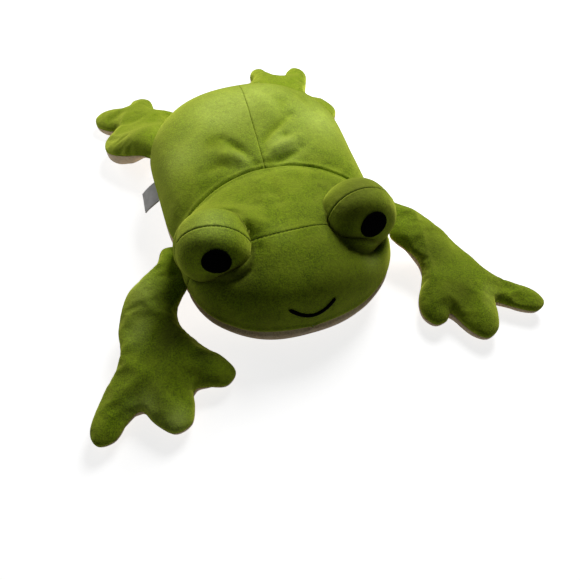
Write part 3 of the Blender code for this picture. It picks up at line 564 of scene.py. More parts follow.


# Marks that brighten or shade the plush: partly where the pile lies one way and another, partly painted light
# and shade, such as a brighter back, a face in painted shade and painted shadow on the right arm's inner
# side. Each mark has a place and a reach in millimetres, and how many times brighter it is as a power of two.
LAY_AND_SHADE_LOWEST, LAY_AND_LIGHT_HIGHEST = -3.0, 0.75
LAY_AND_PAINTED_LIGHT = [
    # Back
    (0, 20, 98, 100, 0.3), (-25, 5, 98, 35, 0.6), (25, 20, 98, 25, 0.4), (75, -25, 84, 35, 0.6),
    (-75, -40, 82, 25, 0.5), (25, -60, 87, 20, 0.6), (-20, -65, 86, 12, 0.5), (-40, -35, 90, 9, -0.5),
    # Crown
    (50, -125, 81, 20, -0.4), (-80, -105, 70, 25, -0.4), (-10, -170, 83, 20, 0.4),
    # Eye domes
    (-65, -157, 105, 22, 0.7), (45, -165, 95, 20, -1.3), (68, -150, 104, 18, -1.0),
    # Face
    (0, -205, 45, 75, -0.35), (-48, -192, 72, 13, -0.9), (64, -198, 63, 14, 0.9), (-20, -215, 63, 15, 0.4),
    (-40, -223, 44, 16, -0.4),
    # Right arm
    (-136, -160, 42, 18, 0.7), (-145, -193, 34, 16, 0.6), (-150, -257, 22, 14, 0.7),
    (-128, -274, 18, 11, 0.8), (-122, -206, 33, 12, -1.0), (-98, -228, 26, 9, -1.2),
    # Left arm and right leg
    (150, -225, 25, 60, -0.25), (134, -188, 35, 18, -0.8), (143, -236, 27, 14, -0.8),
    (165, -245, 23, 20, 0.6), (-120, 73, 43, 16, -0.5),
]


def paint_lay_and_light(obj, power):
    """Marks how bright each point of a plush piece is painted: the pile's way of lying, and painted light and
    shade.
    """
    places = points_of(obj) / MM
    for x, y, z, reach, amount in LAY_AND_PAINTED_LIGHT:
        power += amount * np.exp(-(((places - (x, y, z)) ** 2).sum(axis=1)) / reach ** 2)
    mark = obj.data.attributes.new("pile_lay_and_painted_light", "FLOAT", "POINT")
    mark.data.foreach_set("value", (2.0 ** np.clip(power, LAY_AND_SHADE_LOWEST, LAY_AND_LIGHT_HIGHEST)).astype(np.float32))


# Panels of the body and head
# Two back panels, one belly panel, a crown, a face and a chin panel, each cut from plush cloth about 2 mm
# thick. They are sewn edge to edge inside out, so every seam lies in a narrow valley.

EDGE_GAP = 0.12 * MM


def sewn_panel(name, points, inner, faces, material, painted_shade):
    """A closed piece of cloth over some faces of a form, a hair clear of its neighbours along its edges, with
    painted shade at its points.
    """
    used = np.unique(np.concatenate([np.array(face) for face in faces]))
    index = np.full(len(points), -1)
    index[used] = np.arange(len(used))
    faces = [tuple(int(index[corner]) for corner in face) for face in faces]
    outer, inner = points[used].copy(), inner[used].copy()
    edges = {}
    for face in faces:
        for start, end in zip(face, face[1:] + face[:1]):
            edges[(start, end)] = edges.get((start, end), 0) + 1
    border = [(start, end) for start, end in edges if (end, start) not in edges]
    edge_points = {start for start, _ in border}
    pull = {point: [] for point in edge_points}
    for face in faces:
        for start, end in zip(face, face[1:] + face[:1]):
            for one, other in ((start, end), (end, start)):
                if one in edge_points and other not in edge_points:
                    pull[one].append(other)
    for point, others in pull.items():
        if others:
            for wall in (outer, inner):
                step = wall[others].mean(axis=0) - wall[point]
                wall[point] += step * min(EDGE_GAP / max(np.linalg.norm(step), 1e-9), 0.4)
    count = len(outer)
    panel = faces + [tuple(count + corner for corner in reversed(face)) for face in faces]
    panel += [(end, start, count + start, count + end) for start, end in border]
    obj = mesh_object(name, np.vstack([outer, inner]), panel)
    obj.data.materials.append(material)
    paint_lay_and_light(obj, np.tile(painted_shade[used], 2))
    return obj


beige_plush = plush_material("beige_plush_pile", (0.78, 0.57, 0.33), (1.0, 0.79, 0.52), (1.0, 0.85, 0.62),
                             (1.0, 0.88, 0.68), (1.0, 0.88, 0.70), 0.7)
skin_inner = skin - skin_normals * CLOTH_THICKNESS
rump_row = len(skin) - 1
BODY_ROWS = (NECK_ROW, rump_row)
UPPER_SIDE, UNDERSIDE = (left_column, right_column), (right_column, SKIN_AROUND)
LEFT_HALF, RIGHT_HALF = (left_column, back_column), (back_column, right_column)
# Faces of the grid are all turned over if one on the crown would look down
corner = skin.reshape(-1, 3)[face_corners(FOREHEAD_ROW, back_column, SKIN_AROUND)]
turned = np.cross(corner[1] - corner[0], corner[2] - corner[0])[2] < 0
panel_plan = (
    ("face_plush", "face_panel", (0, FOREHEAD_ROW), UPPER_SIDE, green_plush, "green_plush"),
    ("crown_plush", "crown_panel", (FOREHEAD_ROW, NECK_ROW), UPPER_SIDE, green_plush, "green_plush"),
    ("back_plush_left", "body_back_left", BODY_ROWS, LEFT_HALF, green_plush, "green_plush"),
    ("back_plush_right", "body_back_right", BODY_ROWS, RIGHT_HALF, green_plush, "green_plush"),
    ("chin_plush", "chin_panel", (0, NECK_ROW), UNDERSIDE, beige_plush, "beige_plush"),
    ("belly_plush", "belly_panel", BODY_ROWS, UNDERSIDE, beige_plush, "beige_plush"),
)
for name, node, rows, across, material, slot in panel_plan:
    faces = grid_faces(rows, across, SKIN_AROUND, rump_row)
    if turned:
        faces = [tuple(reversed(face)) for face in faces]
    # Each panel carries the painted shade of the folds, creases and seam valleys
    piece = sewn_panel(name, skin.reshape(-1, 3), skin_inner.reshape(-1, 3), faces, material, painted_crease_shade)
    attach(piece, "trunk")
    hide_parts(node)


# Stuffing of the body and head
# Loose white polyester fibre, packed until the skin is round and firm but still gives under a finger.
# The neck seam parts it into a body wad and a head wad.

fibre_fill, tree, shader = new_material("fibre_fill_white")
place = tree.nodes.new("ShaderNodeTexCoord").outputs["Object"]
strands = noise(tree, place, 260.0, 5.0, 0.7, 2.5)
whiter = spread(tree, strands, 0.35, 0.65)
colour = mix_colours(tree, whiter, (0.62, 0.62, 0.60, 1), (0.90, 0.90, 0.88, 1))
tree.links.new(colour, shader.inputs["Base Color"])
add_bump(tree, shader, strands, 0.7, 1.5 * MM)
shader.inputs["Roughness"].default_value = 0.95
shader.inputs["Specular IOR Level"].default_value = 0.1

WAD_ROW_STEP, WAD_COLUMN_STEP, NECK_GAP = 4, 6, 0.5 * MM
for name, node, rows, neck_row, from_neck in (("head_fibre", "head_stuffing", (0, NECK_ROW), -1, -NECK_GAP),
                                              ("body_fibre", "body_stuffing", BODY_ROWS, 0, NECK_GAP)):
    take = np.unique(np.append(np.arange(*rows, WAD_ROW_STEP), rows[1]))
    wad = packed[take][:, ::WAD_COLUMN_STEP].copy()
    wad[neck_row, :, 1] += from_neck
    count, around = wad.shape[:2]
    points = np.vstack([wad.reshape(-1, 3), wad[0].mean(axis=0), wad[-1].mean(axis=0)])
    faces = [tuple(face_corners(row, column, around)) for row in range(count - 1) for column in range(around)]
    last_ring, front, rear = (count - 1) * around, count * around, count * around + 1
    faces += [((column + 1) % around, column, front) for column in range(around)]
    faces += [(last_ring + column, last_ring + (column + 1) % around, rear) for column in range(around)]
    if turned:
        faces = [tuple(reversed(face)) for face in faces]
    piece = mesh_object(name, points, faces)
    piece.data.materials.append(fibre_fill)
    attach(piece, "trunk")
    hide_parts(node)


# Eye domes
# Each eye is a stuffed dome of two green plush pieces, sewn together over its top.
# Its open edge is sewn to the head, so the dome stands in a narrow valley.

EYE_RINGS, EYE_AROUND, EYE_SEAM_RING = 96, 150, 45
EYE_FIBRE_STEP, EYE_FIBRE_GAP = 3, 2.2 * MM


def eye_form(side, rings, around, inset):
    """Grid on an eye dome, from its front pole to its back one."""
    centre, axes = eye_axes(side)
    polar = (np.arange(rings + 1) * math.pi / rings)[:, None]
    turn = (np.arange(around) * 2 * math.pi / around)[None, :]
    deep = np.sign(np.cos(polar)) * np.abs(np.cos(polar)) ** (2 / EYE_FULLNESS)
    wide = np.abs(np.sin(polar)) ** (2 / EYE_FULLNESS)
    unit = np.stack([deep * np.ones_like(turn), wide * np.cos(turn), wide * np.sin(turn)], axis=2)
    slope = np.sign(deep) * np.abs(deep) ** (EYE_FULLNESS - 1), np.maximum(wide, 1e-6) ** (EYE_FULLNESS - 2)
    outward = unit * np.stack([(slope[0] / np.where(deep == 0, 1, deep)) + 0 * turn,
                               slope[1] + 0 * turn, slope[1] + 0 * turn], axis=2) / EYE_HALF
    outward /= np.linalg.norm(outward, axis=2, keepdims=True)
    seam = np.abs((unit[:, :1, 0] - unit[EYE_SEAM_RING * rings // EYE_RINGS, 0, 0]) * EYE_HALF[0])
    ripple = 0.2 * np.sin(turn * 31 + 2 * np.sin(turn * 7)) * np.exp(-((seam / MM - 4) / 3) ** 2)
    lift = seam_dip(seam, 0.6, 0.8) + ripple * MM - inset
    return centre + (unit * EYE_HALF + outward * lift[:, :, None]) @ axes


def above_skin(points, clear):
    """Height of each point over the skin, and the points with sunken ones laid on it."""
    height, laid = np.zeros(len(points)), points.copy()
    for index, point in enumerate(points):
        found, normal, _, _ = skin_tree.find_nearest(Vector(point))
        height[index] = (Vector(point) - found).dot(normal)
        if height[index] < -3 * MM:
            found = skin_tree.ray_cast(Vector((*point[:2], 0.2)), Vector((0, 0, -1)))[0] or found
            laid[index] = found + Vector((0, 0, clear))
        elif height[index] < clear:
            laid[index] = found + normal * clear
    return height, laid


def turned_out(points, faces, centre):
    """The same faces, all turned over if they look towards the centre."""
    corners = points[np.array([face[:3] for face in faces])]
    looks = np.cross(corners[:, 1] - corners[:, 0], corners[:, 2] - corners[:, 0])
    inwards = (looks * (corners.mean(axis=1) - centre)).sum() < 0
    return [tuple(reversed(face)) for face in faces] if inwards else [tuple(face) for face in faces]


skin_flat = skin.reshape(-1, 3)
skin_faces = closed_grid(len(skin), SKIN_AROUND)
skin_tree = BVHTree.FromPolygons([tuple(point) for point in skin_flat],
                                 [tuple(reversed(face)) if turned else face for face in skin_faces])
for side, side_name in ((1, "left"), (-1, "right")):
    outer = eye_form(side, EYE_RINGS, EYE_AROUND, 0).reshape(-1, 3)
    inner = eye_form(side, EYE_RINGS, EYE_AROUND, CLOTH_THICKNESS).reshape(-1, 3)
    height, outer = above_skin(outer, 0.25 * MM)
    inner = above_skin(inner, 0.15 * MM)[1]
    for part, rings in (("front", (0, EYE_SEAM_RING)), ("back", (EYE_SEAM_RING, EYE_RINGS))):
        faces = grid_faces(rings, (0, EYE_AROUND), EYE_AROUND, EYE_RINGS)
        faces = turned_out(outer, faces, eye_axes(side)[0])
        faces = [face for face in faces if max(height[list(face)]) > -0.8 * MM]
        # Painted shade darkens each dome where it sits low over the skin, in its valley
        piece = sewn_panel(f"eye_{part}_plush_{side_name}", outer, inner, faces, green_plush,
                           -1.1 * np.exp(-(np.maximum(height, 0) / (2.2 * MM)) ** 2))
        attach(piece, "trunk")
        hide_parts(f"eye_{part}_{side_name}")
    rings, around = EYE_RINGS // EYE_FIBRE_STEP, EYE_AROUND // EYE_FIBRE_STEP
    wad = eye_form(side, rings, around, CLOTH_THICKNESS + EYE_FIBRE_GAP).reshape(-1, 3)
    wad = above_skin(wad, -0.5 * MM)[1]
    faces = turned_out(wad, closed_grid(rings + 1, around), eye_axes(side)[0])
    piece = mesh_object(f"eye_fibre_{side_name}", wad, faces)
    piece.data.materials.append(fibre_fill)
    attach(piece, "trunk")
    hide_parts(f"eye_stuffing_{side_name}")


# Embroidered pupils
# Each pupil is a black oval of satin stitch: rows of glossy thread laid side by side over the plush,
# with a second row round its edge.

def stitch_tree(name):
    """Geometry nodes that turn each line of a mesh into a length of thread."""
    tree = bpy.data.node_groups.new(name, "GeometryNodeTree")
    tree.interface.new_socket("Stitches", in_out="INPUT", socket_type="NodeSocketGeometry")
    radius = tree.interface.new_socket("Thread Radius", in_out="INPUT", socket_type="NodeSocketFloat")
    thread = tree.interface.new_socket("Thread", in_out="INPUT", socket_type="NodeSocketMaterial")
    tree.interface.new_socket("Threads", in_out="OUTPUT", socket_type="NodeSocketGeometry")
    start, end = tree.nodes.new("NodeGroupInput"), tree.nodes.new("NodeGroupOutput")
    lines = tree.nodes.new("GeometryNodeMeshToCurve")
    section = tree.nodes.new("GeometryNodeCurvePrimitiveCircle")
    section.inputs["Resolution"].default_value = 6
    tube = tree.nodes.new("GeometryNodeCurveToMesh")
    tube.inputs["Fill Caps"].default_value = True
    realize = tree.nodes.new("GeometryNodeRealizeInstances")
    finish = tree.nodes.new("GeometryNodeSetMaterial")
    tree.links.new(start.outputs["Stitches"], lines.inputs["Mesh"])
    tree.links.new(start.outputs["Thread Radius"], section.inputs["Radius"])
    tree.links.new(lines.outputs["Curve"], tube.inputs["Curve"])
    tree.links.new(section.outputs["Curve"], tube.inputs["Profile Curve"])
    tree.links.new(tube.outputs["Mesh"], realize.inputs["Geometry"])
    tree.links.new(realize.outputs["Geometry"], finish.inputs["Geometry"])
    tree.links.new(start.outputs["Thread"], finish.inputs["Material"])
    tree.links.new(finish.outputs["Geometry"], end.inputs["Threads"])
    return tree, radius.identifier, thread.identifier


thread_tree, radius_slot, thread_slot = stitch_tree("thread_stitches")


def thread_mesh(lines, radius, material):
    """Lengths of thread along lines of points, as one mesh."""
    points, edges = [], []
    for line in lines:
        edges += [(len(points) + step, len(points) + step + 1) for step in range(len(line) - 1)]
        points += [tuple(point) for point in line]
    mesh = bpy.data.meshes.new("stitches")
    mesh.from_pydata(points, edges, [])
    obj = bpy.data.objects.new("stitches", mesh)
    scene.collection.objects.link(obj)
    nodes = obj.modifiers.new("threads", "NODES")
    nodes.node_group = thread_tree
    nodes[radius_slot] = radius
    nodes[thread_slot] = material
    threads = finished_mesh(obj)
    bpy.data.objects.remove(obj)
    return threads


def stitched_piece(name, meshes, material):
    """One object from several meshes."""
    whole = bmesh.new()
    for mesh in meshes:
        whole.from_mesh(mesh)
    bmesh.ops.recalc_face_normals(whole, faces=whole.faces)
    mesh = bpy.data.meshes.new(name)
    whole.to_mesh(mesh)
    whole.free()
    mesh.materials.clear()
    mesh.materials.append(material)
    mesh.polygons.foreach_set("use_smooth", [True] * len(mesh.polygons))
    mesh.polygons.foreach_set("material_index", [0] * len(mesh.polygons))
    obj = bpy.data.objects.new(name, mesh)
    scene.collection.objects.link(obj)
    return obj


def thread_material(name, dark, light, gloss, sheen):
    """Twisted thread between a dark and a light colour."""
    material, tree, shader = new_material(name)
    place = tree.nodes.new("ShaderNodeTexCoord").outputs["Object"]
    twist = noise(tree, place, 1500.0, 2.0, 0.6)
    tree.links.new(mix_colours(tree, spread(tree, twist, 0.35, 0.65), (*dark, 1), (*light, 1)),
                   shader.inputs["Base Color"])
    tree.links.new(spread(tree, twist, 0.3, 0.7, gloss, gloss + 0.2), shader.inputs["Roughness"])
    add_bump(tree, shader, twist, 0.35, 0.1 * MM)
    shader.inputs["Specular IOR Level"].default_value = 0.06
    shader.inputs["Sheen Weight"].default_value = sheen
    return material


black_thread = thread_material("black_thread", (0.0004, 0.0004, 0.0005), (0.0012, 0.0012, 0.0014), 0.7, 0.0)
PUPIL_HALF_WIDTH, PUPIL_HALF_HEIGHT, STITCH_PITCH = 11.6 * MM, 11.6 * MM, 0.62 * MM
# How far each pupil lies outward and upward of its dome's front pole
PUPIL_PLACES = {1: (2.4 * MM, 5.9 * MM), -1: (-3.0 * MM, 9.8 * MM)}
ROW_THREAD_RADIUS, RIM_THREAD_RADIUS, RIM_STITCHES = 0.33 * MM, 0.3 * MM, 110
BACKING_RINGS, BACKING_AROUND, BACKING_TOP, BACKING_BOTTOM = 8, 64, 0.75 * MM, 0.2 * MM


def on_eye(side, across, up, over):
    """A point on the front of an eye dome, at an offset from its front pole and a height over it."""
    centre, axes = eye_axes(side)
    across, up = across + PUPIL_PLACES[side][0], up + PUPIL_PLACES[side][1]
    out_way = math.hypot(across / EYE_HALF[1], up / EYE_HALF[2])
    deep = (1 - out_way ** EYE_FULLNESS) ** (1 / EYE_FULLNESS)
    steep = out_way ** (EYE_FULLNESS - 2)
    outward = np.array((deep ** (EYE_FULLNESS - 1) / EYE_HALF[0], steep * across / EYE_HALF[1] ** 2,
                        steep * up / EYE_HALF[2] ** 2))
    local = np.array((deep * EYE_HALF[0], across, up))
    return centre + (local + outward / np.linalg.norm(outward) * over) @ axes


def backing_point(ring, wall, step):
    """Number of a point of the backing, after the middle points of its top and bottom walls."""
    return 2 + ((ring - 1) * 2 + wall) * BACKING_AROUND + step % BACKING_AROUND


for side, side_name in ((1, "left"), (-1, "right")):
    lines = []
    for step in range(int(2 * PUPIL_HALF_HEIGHT / STITCH_PITCH)):
        up = -PUPIL_HALF_HEIGHT + (step + 0.5) * STITCH_PITCH
        half = PUPIL_HALF_WIDTH * math.sqrt(max(1 - (up / PUPIL_HALF_HEIGHT) ** 2, 0))
        half -= 0.25 * MM * (step % 2)
        if half > 1.2 * MM:
            lines.append([on_eye(side, half * share, up, (0.45 + 0.45 * (1 - share ** 6)) * MM)
                          for share in (-1, -0.9, -0.7, -0.35, 0, 0.35, 0.7, 0.9, 1)])
    rim = []
    for step in range(RIM_STITCHES):
        turn = 2 * math.pi * step / RIM_STITCHES
        across, up = PUPIL_HALF_WIDTH * math.cos(turn), PUPIL_HALF_HEIGHT * math.sin(turn)
        near, far = 1 - 0.9 * MM / PUPIL_HALF_WIDTH, 1 + 0.35 * MM / PUPIL_HALF_WIDTH * (1 + step % 2)
        heights = ((near, 0.95 * MM), ((near + far) / 2, 1.0 * MM), (far, 0.45 * MM))
        rim.append([on_eye(side, across * share, up * share, over) for share, over in heights])
    disc, faces = [on_eye(side, 0, 0, BACKING_TOP), on_eye(side, 0, 0, BACKING_BOTTOM)], []
    for ring in range(1, BACKING_RINGS + 1):
        for over in (BACKING_TOP, BACKING_BOTTOM):
            for step in range(BACKING_AROUND):
                turn = 2 * math.pi * step / BACKING_AROUND
                disc.append(on_eye(side, PUPIL_HALF_WIDTH * math.cos(turn) * ring / BACKING_RINGS,
                                   PUPIL_HALF_HEIGHT * math.sin(turn) * ring / BACKING_RINGS, over))
    for step in range(BACKING_AROUND):
        faces += [(0, backing_point(1, 0, step), backing_point(1, 0, step + 1)),
                  (1, backing_point(1, 1, step + 1), backing_point(1, 1, step))]
        corners = ((0, 0), (1, 0), (1, 1), (0, 1))
        for ring in range(1, BACKING_RINGS):
            for wall in (0, 1):
                face = [backing_point(ring + outward, wall, step + on) for outward, on in corners]
                faces.append(face if wall == 0 else face[::-1])
        faces.append([backing_point(BACKING_RINGS, wall, step + on) for wall, on in corners])
    backing = bpy.data.meshes.new("backing")
    backing.from_pydata([tuple(point) for point in disc], [], faces)
    piece = stitched_piece(f"pupil_embroidery_{side_name}",
                           [backing, thread_mesh(lines, ROW_THREAD_RADIUS, black_thread),
                            thread_mesh(rim, RIM_THREAD_RADIUS, black_thread)], black_thread)
    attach(piece, "trunk")
    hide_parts(f"pupil_{side_name}")


# Embroidered smile
# One short curved mouth, worked in the same black thread as the pupils: close slanted stitches across a line,
# over a thicker thread that pads them.

# Stations of its middle and its ends, counted in rows of SKIN_ROWS from the nose
SMILE_MIDDLE, SMILE_ENDS = 0.75, 1.428
# Its half width and how far it lies to the frog's left, in millimetres
SMILE_HALF_WIDTH, SMILE_ASIDE = 20.3, 0.7
SMILE_STITCHES = 120


def on_face(station, x):
    """A point on the skin's upper side, at a station and a place across, and its outward direction."""
    whole = min(int(station), len(SKIN_STEPS) - 1)
    row = sum(SKIN_STEPS[:whole]) + (station - whole) * SKIN_STEPS[whole]
    low = int(row)
    line = skin[low, :right_column + 1] * (1 - row + low) + skin[low + 1, :right_column + 1] * (row - low)
    point = Vector([np.interp(x, line[::-1, 0], line[::-1, axis]) for axis in range(3)])
    found, normal, _, _ = skin_tree.find_nearest(point)
    return np.array(found), np.array(normal)


smile_path = []
for step in range(SMILE_STITCHES + 1):
    share = 2 * step / SMILE_STITCHES - 1
    station = (1 - share ** 2) * SMILE_MIDDLE + share ** 2 * SMILE_ENDS
    smile_path.append(on_face(station, (share * SMILE_HALF_WIDTH + SMILE_ASIDE) * MM))
lines = []
for step in range(1, SMILE_STITCHES):
    (point, normal), (before, _), (after, _) = smile_path[step], smile_path[step - 1], smile_path[step + 1]
    ahead = (after - before) / np.linalg.norm(after - before)
    across = np.cross(normal, ahead)
    slant = across + 0.35 * ahead
    half = (1.5 + 0.12 * (step % 3)) * MM * min(1, 0.55 + 0.09 * min(step, SMILE_STITCHES - step))
    lines.append([point + slant * half * share + normal * (over * MM) for share, over in
                  ((-1, 0.1), (-0.8, 0.75), (-0.3, 1.25), (0.3, 1.25), (0.8, 0.75), (1, 0.1))])
cord = [point + normal * 0.55 * MM for point, normal in smile_path[1:-1:2]]
piece = stitched_piece("smile_embroidery", [thread_mesh(lines, 0.27 * MM, black_thread),
                                            thread_mesh([cord], 0.75 * MM, black_thread)], black_thread)
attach(piece, "trunk")
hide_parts("smile")


# Seam stitches
# The forehead seam and the seams over the eye domes are sewn from outside, so small stitches of
# dark green thread show in their valleys.

green_thread = thread_material("green_thread", (0.05, 0.085, 0.004), (0.14, 0.21, 0.012), 0.7, 0.1)


def seam_stitches(name, line, normals, length, gap):
    """Stitches of thread along a seam's valley."""
    run = np.concatenate([[0], np.cumsum(np.linalg.norm(np.diff(line, axis=0), axis=1))])
    lines = []
    for start in np.arange(0, run[-1] - length, length + gap):
        places = start + length * np.array((0, 0.15, 0.5, 0.85, 1))
        points = np.stack([np.interp(places, run, line[:, axis]) for axis in range(3)], axis=1)
        lift = np.stack([np.interp(places, run, normals[:, axis]) for axis in range(3)], axis=1)
        lines.append(points + lift * (np.array((-0.3, 0.25, 0.4, 0.25, -0.3)) * MM)[:, None])
    piece = stitched_piece(name, [thread_mesh(lines, 0.32 * MM, green_thread)], green_thread)
    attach(piece, "trunk")


across = [column for column in range(right_column + 1) if abs(skin[FOREHEAD_ROW, column, 0]) < 38 * MM]
seam_stitches("forehead_stitches", skin[FOREHEAD_ROW, across], skin_normals[FOREHEAD_ROW, across],
              2.6 * MM, 1.0 * MM)
for side, side_name in ((1, "left"), (-1, "right")):
    ring = eye_form(side, EYE_RINGS, EYE_AROUND, 0)[EYE_SEAM_RING]
    height = above_skin(ring, 0)[0]
    above = [step for step in np.argsort((np.arange(EYE_AROUND) + EYE_AROUND // 4) % EYE_AROUND)
             if height[step] > 0.6 * MM]
    outward = ring - eye_axes(side)[0]
    outward /= np.linalg.norm(outward, axis=1, keepdims=True)
    seam_stitches(f"eye_seam_stitches_{side_name}", ring[above], outward[above], 2.4 * MM, 1.0 * MM)


# Arms and legs
# Each is a flat mitt with three fingers or toes, green plush above and beige below.
# It is sewn round its edge, turned, lightly stuffed, and caught into the side seam by its flat root.

# Outlines in millimetres where they lie, from the front of the root round to its rear
LIMB_OUTLINES = {
    "arm_right": [(-96, -148), (-95, -158), (-101, -167), (-109, -177), (-111, -192), (-98, -211),
                  (-82, -228), (-74, -244), (-84, -254), (-98, -252), (-111, -251), (-113, -264),
                  (-118, -278), (-133, -282), (-147, -269), (-156, -256), (-167, -263), (-178, -274),
                  (-192, -274), (-196, -259), (-182, -232), (-168, -205), (-163, -180), (-152, -154),
                  (-136, -144), (-121, -133)],
    "arm_left": [(104, -158), (112, -171), (122, -185), (122, -199), (115, -212), (107, -226), (105, -241),
                 (112, -253), (125, -252), (131, -246), (139, -268), (150, -279), (164, -274), (172, -260),
                 (177, -247), (190, -256), (208, -267), (222, -261), (219, -246), (203, -231), (187, -216),
                 (175, -190), (160, -160), (145, -141), (122, -122)],
    "leg_right": [(-140, 57), (-157, 77), (-158, 100), (-150, 118), (-143, 131), (-156, 139), (-168, 152),
                  (-169, 168), (-157, 179), (-140, 179), (-128, 177), (-119, 193), (-105, 197), (-94, 188),
                  (-91, 166), (-84, 157), (-72, 155), (-64, 149), (-66, 142), (-74, 138), (-79, 122),
                  (-77, 104), (-74, 88)],
    "leg_left": [(129, 60), (128, 88), (119, 110), (116, 134), (123, 160), (132, 186), (130, 207), (119, 216),
                 (107, 205), (95, 189), (84, 203), (75, 226), (61, 225), (53, 212), (52, 196), (44, 186),
                 (28, 190), (15, 180), (16, 166), (32, 153), (50, 138), (62, 120), (66, 98), (70, 80)],
}
# Root centre, forward direction, half root width, root height, end height, thickness and sink, all as sewn,
# and how far out from the seam the front corner of the root lies
LIMB_ROOTS = {
    "arm_right": ((-102.6, -127.6), (0.0877, -0.9962), 11.7, 44.2, 10.0, 34.0, 72.0, -1),
    "arm_left": ((103.3, -120.3), (-0.0877, -0.9962), 19, 44.2, 10.0, 34.0, 72.0, 9),
    "leg_right": ((-93.3, 44.8), (-0.8024, -0.5968), 22, 42.5, 9.5, 36.0, 54.4, 9),
    "leg_left": ((93.3, 44.8), (0.8024, -0.5968), 22, 42.5, 9.5, 36.0, 54.4, 9),
}
# Wrinkles across the arms and legs, in millimetres: depth, which is below zero for a valley, half width,
# and the line's points
LIMB_FOLDS = {
    "arm_right": [(-2.6, 4.0, [(-106, -140, 56), (-116, -141, 56), (-128, -146, 50)]),
                  (-1.5, 6.0, [(-150, -250, 26), (-140, -236, 28), (-124, -228, 28)]),
                  (-1.2, 5.0, [(-160, -262, 18), (-156, -244, 24), (-150, -228, 28)])],
    "arm_left": [(-1.8, 4.5, [(112, -142, 56), (124, -150, 52), (138, -160, 46)]),
                 (-1.4, 6.0, [(150, -180, 44), (158, -196, 38), (168, -206, 30)]),
                 (-1.4, 5.0, [(128, -240, 22), (136, -228, 27), (148, -222, 29)])],
    "leg_right": [(-2.0, 4.0, [(-127, 130, 32), (-124, 112, 38), (-116, 98, 44)]),
                  (-1.8, 3.5, [(-112, 128, 34), (-108, 108, 40), (-106, 94, 44)]),
                  (-2.2, 4.0, [(-146, 128, 24), (-134, 124, 30), (-120, 124, 32), (-106, 130, 32)])],
    "leg_left": [(-1.8, 4.0, [(104, 150, 30), (90, 146, 32), (76, 150, 30)]),
                 (-1.6, 4.5, [(112, 112, 40), (98, 110, 44), (84, 112, 42)])],
}


def inside_distance(points, outline):
    """Distance of each point to a closed outline, negative outside it."""
    edge = np.roll(outline, -1, axis=0) - outline
    offset = points[:, None] - outline[None]
    share = np.clip((offset * edge).sum(axis=2) / (edge ** 2).sum(axis=1), 0, 1)
    distance = np.linalg.norm(offset - share[..., None] * edge, axis=2).min(axis=1)
    end = np.roll(outline, -1, axis=0)
    crosses = (outline[:, 1] > points[:, None, 1]) != (end[:, 1] > points[:, None, 1])
    rise = np.where(edge[:, 1] == 0, 1, edge[:, 1])
    cut = outline[:, 0] + (points[:, None, 1] - outline[:, 1]) * edge[:, 0] / rise
    return np.where((crosses & (points[:, None, 0] < cut)).sum(axis=1) % 2 == 1, distance, -distance)


# How far the root is tucked in behind the seam, and how far out its rear corner lies
ROOT_TUCK, REAR_CORNER = 8, 9
# Triangles of the cut: spacing along the edge, rows beside it, and the even field inside them
EDGE_SPACING, EDGE_ROWS, FIELD_STEP, FIELD_LINE, FIELD_MARGIN = 2.2, (1.3, 3.4), 4.2, 3.64, 5.6


def limb_cut(name):
    """Flat triangles of a limb's cut, in millimetres, with its edge points first."""
    centre, forward, half, _, _, _, _, corner = LIMB_ROOTS[name]
    centre, forward = np.array(centre), np.array(forward)
    outward = np.array((-forward[1], forward[0])) * (1 if name.endswith("left") else -1)
    tucked = centre - outward * ROOT_TUCK
    control = [tucked + forward * half * 0.92, centre + forward * half + outward * corner]
    control += [np.array(point, float) for point in LIMB_OUTLINES[name]]
    control += [centre - forward * half + outward * REAR_CORNER, tucked - forward * half * 0.92]
    control = np.array(control)
    rows = np.vstack([2 * control[0] - control[1], control, 2 * control[-1] - control[-2]])
    count = len(control) - 1
    edge = smooth_through(rows, np.arange(0, count * 5 + 1) / 5)
    root = [control[-1] + (control[0] - control[-1]) * step / 8 for step in range(1, 8)]
    edge = np.vstack([edge, root])
    kept = [edge[0]]
    for point in edge[1:]:
        if min(np.linalg.norm(point - kept[-1]), np.linalg.norm(point - kept[0])) > EDGE_SPACING:
            kept.append(point)
    edge = np.array(kept)
    ahead = np.roll(edge, -1, axis=0) - edge
    ahead /= np.linalg.norm(ahead, axis=1, keepdims=True)
    tangent = ahead + np.roll(ahead, 1, axis=0)
    inward = np.stack([-tangent[:, 1], tangent[:, 0]], axis=1)
    inward /= np.linalg.norm(tangent, axis=1, keepdims=True)
    if inside_distance(edge + inward * 0.3, edge).mean() < 0:
        inward = -inward
    points = edge
    for depth in EDGE_ROWS:
        row = edge + inward * depth
        good = inside_distance(row, edge) > depth * 0.85
        fresh = []
        for point in row[good]:
            if not fresh or min(np.linalg.norm(np.array(fresh) - point, axis=1)) > 2.0:
                fresh.append(point)
        points = np.vstack([points, fresh])
    low, high = edge.min(axis=0), edge.max(axis=0)
    steps, lines = int((high[0] - low[0]) / FIELD_STEP) + 1, int((high[1] - low[1]) / FIELD_LINE) + 1
    field = np.array([(low[0] + FIELD_STEP / 2 * (line % 2) + step * FIELD_STEP, low[1] + line * FIELD_LINE)
                      for line in range(lines) for step in range(steps)])
    field = field[inside_distance(field, edge) > FIELD_MARGIN]
    points = np.vstack([points, field])
    found, _, faces, original, _, _ = delaunay_2d_cdt([tuple(point) for point in points], [],
                                                      [list(range(len(edge)))], 1, 1e-4)
    order = np.argsort([ids[0] for ids in original])
    rank = np.argsort(order)
    faces = [tuple(int(rank[index]) for index in face) for face in faces]
    return np.array([tuple(found[index]) for index in order]), faces, len(edge), centre, outward


